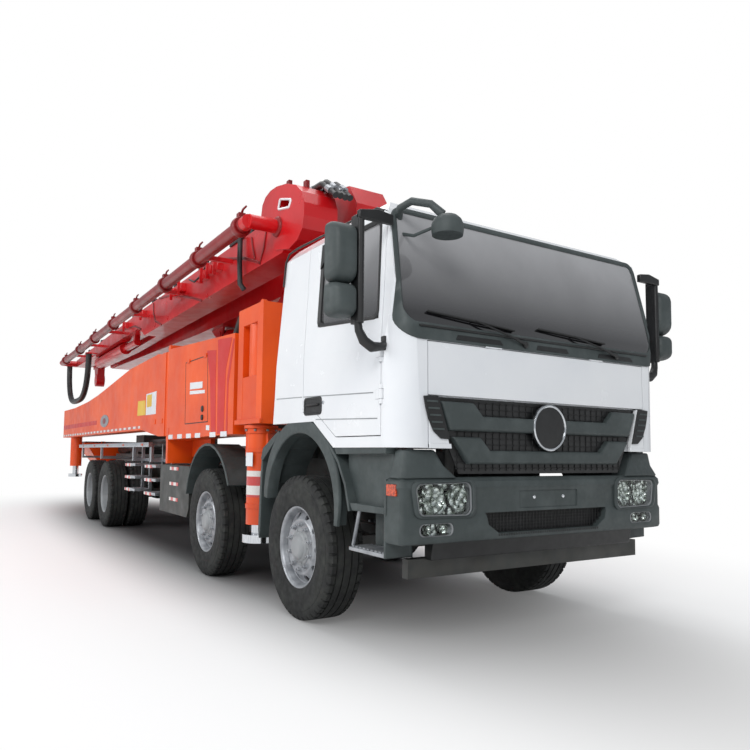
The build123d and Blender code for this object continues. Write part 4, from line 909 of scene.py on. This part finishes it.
def arches():
    """Flared trim round the front wheel arch, a lip on the second arch and sheet flaps behind the wheels."""
    # Round the trim's section: share of the way from the outer edge to the inner one, and y
    section = ((0, 1.225), (0, 1.240), (0.06, 1.2475), (0.5, 1.249), (0.94, 1.2475), (1, 1.240), (1, 1.15),
               (0.8, 1.15), (0.7, 1.225))
    rings = []
    for n in range(25):
        outer, inner = arch_edge(radians(-4 + 176 * n / 24))
        ring = []
        for share, y in section:
            x, z = between(outer, inner, share)
            ring.append((x, y, z))
        rings.append(ring)
    show("arch_trim", Form().rings(rings).both(), "truck", "dark_plastic")
    path = []
    for n in range(25):
        angle = radians(25 + 143 * n / 24)
        path.append((-2.04 + 0.682 * cos(angle), 1.232, 0.65 + 0.682 * sin(angle)))
    show("arch_lips", Form().tube(path, 0.010, 8).both(), "truck", "dark_plastic")
    flap = Form()
    flap.prism([(-0.625, 1.26), (-0.645, 1.27), (-0.675, 1.05), (-0.70, 0.60), (-0.68, 0.53), (-0.655, 0.60),
                (-0.64, 1.0)], "y", 0.92, 1.235)
    flap.prism([(-0.30, 1.40), (-0.32, 1.43), (-0.62, 1.29), (-0.66, 1.20), (-0.63, 1.18)], "y", 0.92, 1.24)
    show("wheel_flaps", flap.both(), "truck", "dark_plastic", bevel=0.004)


def in_bumper(y, z, back):
    """A point behind the bumper's front face."""
    plan = [(0.0, 1.399), (0.95, 1.399), (1.12, 1.396), (1.20, 1.389), (1.24, 1.36)]
    for (y0, x0), (y1, x1) in zip(plan, plan[1:]):
        if abs(y) <= y1:
            return (x0 + (x1 - x0) * (abs(y) - y0) / (y1 - y0) - back, y, z)
    return (1.36 - back, y, z)


def lamps(head, fog):
    """Reflector bowls, bezels and clear covers in the bumper's pockets."""
    bezel, cover, bowls, housing, surround = Form(), Form(), Form(), Form(), Form()
    for outline, share in ((head, 0.93), (fog, 0.90)):
        middle = middle_of(outline)
        wide, narrow = scaled(outline, 0.985, middle), scaled(outline, share, middle)
        bezel.rings(layers(in_bumper, (wide, 0.03), (wide, 0.002), (narrow, 0.004), (narrow, 0.05)),
                    caps=False, shut=True)
        cover.rings(layers(in_bumper, (narrow, 0.007), (narrow, 0.012)))
        housing.rings(layers(in_bumper, (outline, 0.045), (outline, 0.10)))
    rim, lip, edge = (scaled(head, share, middle_of(head)) for share in (1.13, 1.03, 0.99))
    surround.rings(layers(in_bumper, (rim, 0.02), (rim, -0.004), (lip, -0.012), (edge, -0.004), (edge, 0.02)),
                   caps=False, shut=True)
    for y, z, radius in LAMP_BOWLS:
        x = in_bumper(y, z, 0.020)[0]
        bowls.turn([(x, radius), (x - 0.012, radius * 0.96), (x - 0.018, radius * 0.7),
                    (x - 0.022, radius * 0.3), (x - 0.023, 0.0)], (0, y, z), "x", 28, False)
        bowls.turn([(x - 0.024, 0.0), (x - 0.024, radius * 0.2), (x - 0.010, radius * 0.16), (x - 0.006, 0)],
                   (0, y, z), "x", 12, False)
    show("lamp_housings", housing.both(), "truck", "facets", replaces=["lamps"])
    show("lamp_bezels", bezel.both(), "truck", "rim_dark")
    show("lamp_surrounds", surround.both(), "truck", "dark_plastic")
    show("lamp_bowls", bowls.both(), "truck", "facets")
    show("lamp_covers", cover.both(), "truck", "lamp_glass")


def door_details():
    """Window seals, rain visors, handles in black recesses, locks and the roof's drip rails."""
    opening = [(0.322, 2.172), (0.332, 2.768), (1.118, 2.758), (1.138, 2.102)]
    middle = middle_of(opening)
    outer = round_outline([(x, z, 0.05) for x, z in opening])
    inner, wide = scaled(outer, 0.935, middle), scaled(outer, 1.02, middle)
    visor = [(0.33, 2.60), (0.34, 2.78), (0.55, 2.78)]
    recess = round_box((0.155, 0.428), (1.527, 1.658), 0.03)
    floor = round_box((0.172, 0.411), (1.542, 1.643), 0.024)
    for name, side in SIDES.items():
        def on_door(x, z, lift):
            return (x, side * (side_y(z) + lift), z)
        body = f"cab_door_{name}"
        seal = Form().rings(layers(on_door, (wide, 0.001), (outer, 0.006), (inner, -0.004), (inner, -0.03),
                                   (wide, -0.03)), caps=False, shut=True)
        show(f"window_seal_{name}", seal, body, "black")
        shade = Form().rings(layers(on_door, (visor, 0.006), (visor, 0.012)))
        show(f"window_visor_{name}", shade, body, "black", bevel=0.002)
        handle = Form().rings(layers(on_door, (recess, 0.0), (recess, 0.005), (floor, 0.003), (floor, 0.001)))
        grip = ((0.20, 0.003), (0.21, 0.013), (0.37, 0.013), (0.38, 0.003))
        handle.tube([on_door(x, 1.60, lift) for x, lift in grip], 0.009, 8)
        show(f"door_handle_{name}", handle, body, "black")
        lock = Form().turn([(side * 1.250, 0.014), (side * 1.256, 0.012), (side * 1.257, 0)],
                           (0.45, 0, 1.61), "y", 16, False)
        show(f"door_lock_{name}", lock, body, "chrome_rod")
        # Painted shade: thin grey strips along the door's creases stand for the shade in them.
        crease = Form()
        for line in (((0.14, 1.669), (1.10, 1.634)), ((0.34, 1.493), (1.15, 1.470))):
            strip(crease, line, 0.007, (side * 1.249, side * 1.2515))
        show(f"door_creases_{name}", crease, body, "crease")
    # The same painted crease shade on the cab's side behind the door.
    lines = strip(Form(), [(-0.34, 1.683), (0.115, 1.670)], 0.007, (1.249, 1.2515))
    show("cab_creases", lines.both(), "truck", "crease")
    path = [(-0.30, 1.226, 2.60), (-0.285, 1.214, 2.80), (-0.24, 1.206, 2.862), (-0.10, 1.204, 2.872),
            (0.5, 1.203, 2.856), (1.06, 1.203, 2.84), (1.14, 1.207, 2.80)]
    show("drip_rails", Form().tube(path, 0.008, 8).both(), "truck", "black")


# Mirrors
MIRROR_Y, MIRROR_HALF, MIRROR_BULGE = 1.548, 0.094, 0.12


def mirror_head(x, z, high):
    """A mirror housing, flat behind and bulged in front."""
    rings = []
    for n in range(9):
        share = n / 8
        swell = sin(pi * (0.5 + share / 2)) if share > 0 else 1
        size = max(0.04, swell) ** 0.42
        depth = x + MIRROR_BULGE * sin(share * pi / 2)
        across, up = MIRROR_HALF * size, high * size
        outline = round_box((MIRROR_Y - across, MIRROR_Y + across), (z - up, z + up), 0.045 * size, 4)
        rings += flat((depth,), outline)
    return Form().rings(rings)


def mirrors():
    """Two heads on each side, on an upright black arm that stands on a curved foot."""
    heads, glass, arms = Form(), Form(), Form()
    for z, high in ((2.455, 0.185), (2.165, 0.105)):
        heads.add(mirror_head(1.155, z, high))
        outline = round_box((1.468, 1.628), (z - high + 0.012, z + high - 0.012), 0.035, 4)
        glass.rings(flat((1.150, 1.156), outline))
    post = [(1.16, 1.418), (1.25, 1.418), (1.262, 1.435), (1.25, 1.462), (1.16, 1.462)]
    arms.rings([[(x + 0.006 * (2.3 - z), y, z) for x, y in post] for z in (2.03, 2.2, 2.45, 2.70)])
    top = [(1.215, 2.67), (1.215, 2.73), (1.33, 2.745), (1.462, 2.72), (1.462, 2.67)]
    arms.rings(flat((1.225, 1.262), top))
    arms.tube([(1.215, 1.442, 2.06), (1.22, 1.435, 1.99), (1.228, 1.405, 1.93), (1.235, 1.35, 1.895),
               (1.232, 1.28, 1.905), (1.212, 1.235, 1.93)], [0.024, 0.026, 0.032, 0.034, 0.026, 0.022], 12)
    arms.box((1.195, 1.235), (1.21, 1.262), (1.885, 1.975))
    show("mirror_heads", heads.both(), "truck", "dark_plastic", replaces=["mirrors"])
    show("mirror_arms", arms.both(), "truck", "black", bevel=0.006)
    show("mirror_glass", glass.both(), "truck", "mirror_glass")
    rings = []
    for share, size in ((0.0, 0.30), (0.08, 0.62), (0.25, 0.86), (0.5, 1.0), (0.8, 1.0), (1.0, 0.96)):
        outline = ellipse((1.515, -0.995), 0.095 * size, 0.100 * size, 24)
        rings.append([(x, y, 2.70 - 0.13 * share) for x, y in outline])
    kerb = Form().rings(rings)
    kerb.tube([(1.19, -1.13, 2.745), (1.25, -1.16, 2.79), (1.36, -1.15, 2.80), (1.46, -1.08, 2.765),
               (1.50, -1.02, 2.70)], [0.026, 0.024, 0.024, 0.024, 0.028], 12)
    kerb.tube([(1.215, -1.12, 2.64), (1.33, -1.11, 2.60), (1.44, -1.05, 2.63)], 0.011, 8)
    show("kerb_mirror", kerb, "truck", "dark_plastic")


# Boom
def strip(form, points, width, ys):
    """A flat bar that follows points of (x, z), between two values of y."""
    points = [Vector(point) for point in points]
    rings = []
    for n, point in enumerate(points):
        before = points[max(0, n - 1)]
        after = points[min(len(points) - 1, n + 1)]
        ahead = (after - before).normalized()
        across = Vector((-ahead.y, ahead.x)) * (width / 2)
        low, high = point - across, point + across
        rings.append([(low.x, ys[0], low.y), (high.x, ys[0], high.y), (high.x, ys[1], high.y),
                      (low.x, ys[1], low.y)])
    return form.rings(rings)


def boom_head():
    """Edged slot, lifting lugs and the pin's cap on the cheek plate at the front hinge."""
    slot = round_outline([(-1.14, 3.575, 0.02), (-0.90, 3.525, 0.02), (-0.85, 3.585, 0.02),
                          (-1.10, 3.665, 0.02)])
    edge = Form().tube([(x, -0.906, z) for x, z in slot], 0.012, 8, shut=True)
    show("boom_head_slot", edge, "arm_3", "cab_white")
    lugs = Form()
    for x, z in ((-1.43, 3.79), (-0.80, 3.68), (-1.17, 3.81)):
        lugs.box((x - 0.03, x + 0.03), (-0.80, -0.76), (z, z + 0.09))
    lugs.turn([(-0.904, 0.10), (-0.924, 0.095), (-0.934, 0.075), (-0.936, 0)],
              (-1.15, 0, 3.41), "y", 32, False)
    show("boom_head_lugs", lugs, "arm_3", "dark_red", bevel=0.004)


# Welded strips on the third arm's outer face: width, and points of (x, z)
ARM_STRIPS = (
    (0.028, ((-3.02, 3.55), (-2.9, 3.53), (-2.01, 3.32), (-1.60, 3.17))),
    (0.022, ((-1.62, 3.16), (-1.52, 3.30), (-1.46, 3.48))),
    (0.022, ((-1.84, 3.50), (-1.80, 3.38), (-1.74, 3.25))),
    (0.028, ((-5.43, 3.55), (-5.0, 3.50), (-4.24, 3.35), (-3.8, 3.24), (-3.42, 3.13))),
    (0.026, ((-5.75, 3.54), (-5.72, 3.38), (-5.60, 3.23), (-5.25, 3.12))),
    (0.026, ((-8.7, 3.50), (-7.8, 3.44), (-6.9, 3.36), (-6.5, 3.25))),
)


def boom_side():
    """Welded strips, brackets, clamps and hydraulic lines on the third arm's outer face."""
    strips, brackets, lines, clamps = Form(), Form(), Form(), Form()
    for width, points in ARM_STRIPS:
        strip(strips, points, width, (-0.892, -0.878))
    show("arm_strips", strips, "arm_3", "dark_red", bevel=0.003)
    for x, high in ((-2.75, 3.46), (-3.0, 3.47), (-3.22, 3.46), (-4.15, 3.50), (-4.5, 3.50), (-6.2, 3.50),
                    (-7.4, 3.50)):
        brackets.box((x - 0.07, x + 0.05), (-0.95, -0.875), (high - 0.11, high))
        brackets.box((x - 0.02, x + 0.0), (-0.985, -0.945), (high - 0.16, high + 0.03))
    show("arm_brackets", brackets, "arm_3", "boom_red", bevel=0.006)
    for offset, height in ((0.0, 3.575), (0.03, 3.60), (0.06, 3.578)):
        y = -0.83 + offset
        lines.tube([(-1.45, y, 3.55), (-1.75, y, height), (-6.35, y, height), (-6.55, y, height - 0.03),
                    (-12.6, y, height - 0.12)], 0.011, 8)
    show("arm_lines", lines, "arm_3", "rim")
    for x in (-1.95, -2.5, -3.62, -4.73, -5.9, -7.2, -8.6, -10.0, -11.4):
        top = 3.60 if x > -6.4 else 3.60 - 0.12 * (-6.4 - x) / 6.2
        clamps.box((x - 0.05, x + 0.05), (-0.86, -0.74), (top - 0.045, top + 0.028))
        clamps.turn([(0, 0.018), (0.02, 0.018), (0.022, 0)], (x, -0.80, top + 0.028), "z", 6, False)
    clamps.box((-2.46, -2.06), (-0.90, -0.80), (3.555, 3.625))
    show("arm_clamps", clamps, "arm_3", "black", bevel=0.006)
    hoses = Form()
    hoses.tube([(-2.05, -0.93, 3.56), (-2.04, -0.935, 3.30), (-2.0, -0.94, 3.03), (-1.98, -0.90, 2.97)],
               0.028, 10)
    hoses.tube([(-3.10, -0.91, 3.57), (-3.35, -0.93, 3.42), (-3.60, -0.93, 3.40), (-3.9, -0.90, 3.50)],
               0.012, 8)
    show("arm_hoses", hoses, "arm_3", "hose_rubber")


def pipe_clamps():
    """Two-part couplings with lever handles along the delivery pipe, and its painted sleeve."""
    y = -1.2
    rings, levers = Form(), Form()
    profile = [(-0.045, 0.068), (-0.045, 0.092), (-0.012, 0.098), (0.012, 0.098), (0.045, 0.092),
               (0.045, 0.068)]
    for x in (-1.35, -2.62, -3.95, -5.52, -7.1, -8.76, -10.4, -12.3):
        z = 3.41 - 0.05 * (-1.15 - x) / 11.7
        rings.turn(profile, (x, y, z), "x", 24)
        rings.box((x - 0.035, x + 0.035), (y - 0.035, y + 0.035), (z + 0.085, z + 0.135))
        levers.tube([(x, y, z + 0.12), (x + 0.05, y, z + 0.16), (x + 0.13, y, z + 0.165)],
                    [0.014, 0.011, 0.009], 8)
    sleeve = Form().tube([(-1.25, y, 3.4096), (-12.75, y, 3.3604)], 0.0695, 24)
    show("pipe_sleeve", sleeve, "arm_3", "dark_red")
    show("pipe_couplings", rings, "arm_3", "dark_red", bevel=0.004)
    show("pipe_levers", levers, "arm_3", "dark_red")


def head_hoses():
    """Bundle of hoses over the front hinge in corrugated guards, with pale fittings."""
    bundle, fittings = Form(), Form()
    # The ends stay beside the lane that the last section swings through, and only the tops lean over it.
    for n, (y, y_end) in enumerate(((-0.52, -0.66), (-0.46, -0.61), (-0.40, -0.56), (-0.34, -0.51))):
        lift = 0.03 * (n % 2)
        path = [(-1.75, y_end, 3.62), (-1.55, y_end, 3.80 + lift), (-1.15, y, 3.87 + lift),
                (-0.72, y_end, 3.74 + lift), (-0.42, y_end, 3.52)]
        smooth = [between(a, b, share / 8) for a, b in zip(path, path[1:]) for share in range(8)]
        bundle.tube(smooth, [0.030 if k % 2 else 0.025 for k in range(len(smooth))], 10)
        fittings.tube([(-1.27, y + 0.3 * (y_end - y), 3.849 + lift), (-1.15, y, 3.87 + lift)], 0.033, 8)
        fittings.tube([(-0.62, y_end, 3.67 + lift), (-0.55, y_end, 3.62 + lift)], 0.033, 8)
    show("head_hoses", bundle, "arm_3", "hose_rubber")
    show("head_hose_fittings", fittings, "arm_3", "rim")


def turret_details():
    """Delivery elbow, valve block and stiffening ribs on the slewing base."""
    path = [(-3.0, -0.52, 2.06), (-2.98, -0.54, 2.45), (-2.90, -0.58, 2.66), (-2.72, -0.60, 2.79),
            (-2.45, -0.60, 2.83)]
    elbow = Form().tube(path, 0.078, 20)
    for place, axis in (((-2.985, -0.53, 2.34), "z"), ((-2.6, -0.60, 2.81), "x")):
        elbow.turn([(-0.04, 0.07), (-0.04, 0.10), (0.04, 0.10), (0.04, 0.07)], place, axis, 24)
    show("slewing_elbow", elbow, "slewing_base", "chassis_grey", bevel=0.004)
    block = Form().box((-2.62, -2.32), (-0.46, -0.30), (2.20, 2.42))
    for n in range(5):
        x = -2.58 + 0.055 * n
        block.tube([(x, -0.38, 2.40), (x, -0.40, 2.52), (x - 0.08, -0.42, 2.62)], 0.012, 8)
    show("slewing_valves", block, "slewing_base", "black", bevel=0.004)
    ribs = Form()
    for x in (-3.02, -2.45):
        strip(ribs, [(x, 2.02), (x + 0.10, 2.62)], 0.03, (-0.272, -0.25))
    show("slewing_ribs", ribs, "slewing_base", "dark_red", bevel=0.003)


# Body sides
HOUSING_Y = 1.25
HOUSING_BANDS = (
    ((-2.08, 2.30), (-1.80, 2.27), (-1.80, 1.97), (-1.76, 1.43), (-1.90, 1.43), (-1.97, 2.0)),
    ((-1.76, 2.37), (-1.37, 2.34), (-1.52, 2.05), (-1.54, 1.43), (-1.72, 1.43), (-1.74, 2.05)),
    ((-1.34, 2.32), (-1.30, 2.32), (-1.44, 1.9), (-1.44, 1.43), (-1.48, 1.43), (-1.48, 1.95)),
)
HOUSING_PLATES = (
    ((-2.62, 2.01), (-2.20, 1.99), (-2.20, 1.92), (-2.62, 1.935)),
    ((-2.62, 1.92), (-2.12, 1.895), (-2.12, 1.86), (-2.62, 1.88)),
    ((-2.05, 1.525), (-1.95, 1.52), (-1.95, 1.47), (-2.05, 1.475)),
)
ARM_Y = 1.24
LEG_X, LEG_Y = -0.95, 1.115


def housing_details(side_name, side):
    """Door grooves, painted bands, blank plates, locks, hinges and reflectors on a side housing."""
    y = HOUSING_Y
    groove, bands, white, black, hinge, reflectors = Form(), Form(), Form(), Form(), Form(), Form()
    corners = [(-2.80, 2.25), (-2.06, 2.25), (-2.01, 1.56), (-2.77, 1.56)]
    for n in range(4):
        strip(groove, [corners[n], corners[(n + 1) % 4]], 0.010, (y - 0.001, y + 0.0012))
    for outline in HOUSING_BANDS:
        bands.prism(outline, "y", y, y + 0.0015)
    for outline in HOUSING_PLATES:
        white.prism(outline, "y", y, y + 0.003)
    black.turn([(y, 0.035), (y + 0.010, 0.032), (y + 0.012, 0.0)], (-2.18, 0, 1.70), "y", 20, False)
    black.turn([(y, 0.03), (y + 0.012, 0.028), (y + 0.014, 0.0)], (-2.18, 0, 1.61), "y", 20, False)
    for x in (-2.68, -2.12):
        hinge.box((x - 0.04, x + 0.04), (y - 0.004, y + 0.012), (2.235, 2.275))
    hinge.box((-3.48, -3.40), (y - 0.01, y + 0.004), (1.44, 1.53))
    for x in (-3.32, -2.96, -2.63, -2.32, -1.85, -1.54):
        reflectors.box((x - 0.085, x + 0.085), (y - 0.002, y + 0.003), (1.40, 1.45))
    parts = (("grooves", groove, "black"), ("bands", bands, "stripe"), ("plates", white, "cab_white"),
             ("locks", black, "black"), ("hinges", hinge, "orange_paint"),
             ("reflectors", reflectors, "cab_white"))
    for name, form, finish in parts:
        show(f"housing_{name}_{side_name}", form.sided(side), "truck", finish)


def rear_arm_details(side_name, side):
    """Blank plates, painted bands, an oval badge's blank, and latches on the rear swing arm."""
    y = ARM_Y
    forms = {key: Form() for key in ("yellow", "white", "oval", "stripe", "tape", "edge", "bolts")}
    forms["yellow"].prism([(-5.0, 1.95), (-4.60, 1.94), (-4.57, 1.74), (-5.02, 1.745)], "y", y, y + 0.003)
    forms["white"].prism([(-4.55, 2.02), (-4.04, 2.025), (-4.05, 1.73), (-4.55, 1.735)], "y", y, y + 0.003)
    forms["yellow"].prism([(-4.50, 2.0), (-4.26, 2.0), (-4.26, 1.84), (-4.50, 1.84)],
                          "y", y + 0.002, y + 0.005)
    forms["oval"].prism(ellipse((-7.31, 1.755), 0.34, 0.105, 32), "y", y, y + 0.008)
    forms["edge"].prism(ellipse((-7.31, 1.755), 0.12, 0.05, 20), "y", y + 0.006, y + 0.010)
    forms["stripe"].prism([(-11.9, 1.81), (-8.0, 1.79), (-8.0, 1.715), (-11.9, 1.72)], "y", y, y + 0.002)
    forms["tape"].prism([(-11.9, 1.60), (-4.85, 1.60), (-4.85, 1.565), (-11.9, 1.56)], "y", y, y + 0.002)
    for x in (-4.1, -3.78):
        forms["bolts"].box((x - 0.05, x + 0.05), (y - 0.004, y + 0.008), (1.60, 1.66))
    finish = {"yellow": "yellow", "white": "cab_white", "oval": "rim", "stripe": "stripe", "tape": "tape_arm",
              "edge": "dark_red", "bolts": "orange_paint"}
    for key, form in forms.items():
        show(f"rear_arm_{key}_{side_name}", form.sided(side), f"rear_outrigger_{side_name}", finish[key],
             bevel=0.002 if key == "oval" else 0)


def front_leg_details(side_name, side):
    """Door panel, bolted collar, tape band and blank plate on the front leg."""
    front = f"front_outrigger_{side_name}"
    axis = (LEG_X, LEG_Y, 0)
    collar, band, plain, bolt = Form(), Form(), Form(), Form()
    collar.turn([(1.49, 0.118), (1.49, 0.150), (1.465, 0.152), (1.455, 0.135), (1.42, 0.135), (1.415, 0.119)],
                axis, "z", 40)
    for z in (1.27, 0.78):
        ring = [(z + 0.02, 0.118), (z + 0.02, 0.128), (z - 0.02, 0.128), (z - 0.02, 0.118)]
        collar.turn(ring, axis, "z", 40)
    band.turn([(1.09, 0.1185), (1.09, 0.1215), (0.86, 0.1215), (0.86, 0.1185)], axis, "z", 40)
    plain.box((-0.99, -0.84), (1.236, 1.2395), (1.13, 1.25))
    panel = Form().box((-1.125, -0.775), (1.225, 1.238), (1.53, 1.93))
    panel.box((-1.24, -0.66), (1.232, 1.262), (1.50, 1.545))
    show(f"front_leg_panel_{side_name}", panel.sided(side), front, "orange_paint", bevel=0.006)
    for x, y in ellipse((LEG_X, LEG_Y), 0.142, 0.142, 8):
        bolt.turn([(1.455, 0.013), (1.44, 0.012), (1.438, 0)], (x, y, 0), "z", 6, False)
    for name, form, finish in (("collar", collar, "orange_paint"), ("band", band, "tape_leg"),
                               ("plate", plain, "cab_white"), ("bolts", bolt, "rim_dark")):
        show(f"front_leg_{name}_{side_name}", form.sided(side), front, finish)


def rail_details():
    """Grooved side rail with lamps, and the steps under it."""
    rail, markers, steps = Form(), Form(), Form()
    section = [(1.183, 1.312), (1.226, 1.312), (1.2305, 1.318), (1.2305, 1.328), (1.225, 1.331), (1.225, 1.349),
               (1.2305, 1.352), (1.2305, 1.362), (1.226, 1.369), (1.183, 1.369)]
    rail.rings(flat((-9.829, -4.401), section))
    for x in (-9.35, -8.2, -7.05, -5.9, -4.75):
        markers.box((x - 0.05, x + 0.05), (1.228, 1.238), (1.325, 1.355))
    show("rail_face", rail.both(), "truck", "silver_rail")
    show("rail_lamps", markers.both(), "truck", "amber", bevel=0.004)
    for x in (-5.65, -4.5, -3.3):
        for z in (1.06, 0.88, 0.70):
            steps.box((x - 0.17, x + 0.17), (1.17, 1.205), (z - 0.03, z + 0.01))
    show("step_edges", steps.both(), "truck", "tape_step", bevel=0.003)


# Light, floor and background
FLOOR_HALF = 60
# Floor colours: a painted shadow under the vehicle, and pale round it
PAINTED_SHADOW, PALE = (0.035, 0.035, 0.037, 1), (0.9, 0.9, 0.9, 1)
# Each light: name, place, target, size and power
LIGHTS = (
    ("key", (15, -10, 9), (3.5, 0, 1.8), (8, 5), 950),
    ("side", (-2, -15, 7), (-2, 0, 1.5), (14, 5), 760),
    ("top", (0, 0, 12), (0, 0, 0), (16, 8), 800),
)


def background():
    """Soft light from all round, and plain white to the camera."""
    world = bpy.data.worlds.new("studio")
    world.use_nodes = True
    bpy.context.scene.world = world
    sky = Nodes(world.node_tree)
    soft = sky.tree.nodes["Background"]
    sky.feed(soft, "Color", (0.93, 0.96, 1.0, 1))
    sky.feed(soft, "Strength", 0.50)
    white = sky.node("ShaderNodeBackground", Color=(1, 1, 1, 1))
    to_camera = sky.node("ShaderNodeLightPath").outputs["Is Camera Ray"]
    seen = sky.join(to_camera, soft.outputs[0], white.outputs[0])
    sky.feed(sky.tree.nodes["World Output"], "Surface", seen)


def floor_material():
    """Painted shadow: dark under the vehicle, pale round it, and far out plain white for what the camera sees.
    """
    material = bpy.data.materials.new("floor_white")
    material.use_nodes = True
    nodes = Nodes(material.node_tree)
    shader = nodes.tree.nodes["Principled BSDF"]
    nodes.feed(shader, "Roughness", 0.9)
    # The base colour paints the vehicle's shadow on the floor, darkest under it.
    nodes.feed(shader, "Base Color", nodes.mix(nodes.far_out(0.165, 0.75, 2.3), PAINTED_SHADOW, PALE))
    share = nodes.times(nodes.seen_directly(), nodes.far_out(0.5, 2.2, 6.0))
    glow = nodes.node("ShaderNodeEmission")
    seen = nodes.join(share, shader.outputs[0], glow.outputs[0])
    nodes.feed(nodes.tree.nodes["Material Output"], "Surface", seen)
    return material


def stage():
    background()
    mesh = bpy.data.meshes.new("floor")
    half = FLOOR_HALF
    corners = [(-half, -half, 0), (half, -half, 0), (half, half, 0), (-half, half, 0)]
    mesh.from_pydata(corners, [], [(0, 1, 2, 3)])
    mesh.materials.append(floor_material())
    floor = bpy.data.objects.new("floor", mesh)
    floor.location = (0, 0, -0.001)
    bpy.context.scene.collection.objects.link(floor)
    for name, place, target, size, power in LIGHTS:
        data = bpy.data.lights.new(name, "AREA")
        data.shape = "RECTANGLE"
        data.size, data.size_y = size
        data.energy = power
        item = bpy.data.objects.new(name, data)
        item.location = place
        item.rotation_euler = (Vector(target) - Vector(place)).to_track_quat("-Z", "Y").to_euler()
        bpy.context.scene.collection.objects.link(item)


def dress_nodes():
    """Gives each solid's slots their finishes."""
    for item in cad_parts.values():
        for n, material in enumerate(item.data.materials):
            item.data.materials[n] = SKINS[material.name.split(".")[0]]


camera()
free_hose = hose()
dress_nodes()
wheels()
windshield()
wiper("wiper_right", -0.22, (-0.66, 2.115), ((-1.02, 2.135), (-0.30, 2.085)))
wiper("wiper_left", 0.72, (0.28, 2.105), ((-0.06, 2.125), (0.62, 2.085)))
grille_front()
lamps(*bumper())
entry_steps()
arches()
door_details()
mirrors()
boom_head()
boom_side()
pipe_clamps()
head_hoses()
turret_details()
for side_name, side in SIDES.items():
    housing_details(side_name, side)
    rear_arm_details(side_name, side)
    front_leg_details(side_name, side)
rail_details()
stage()
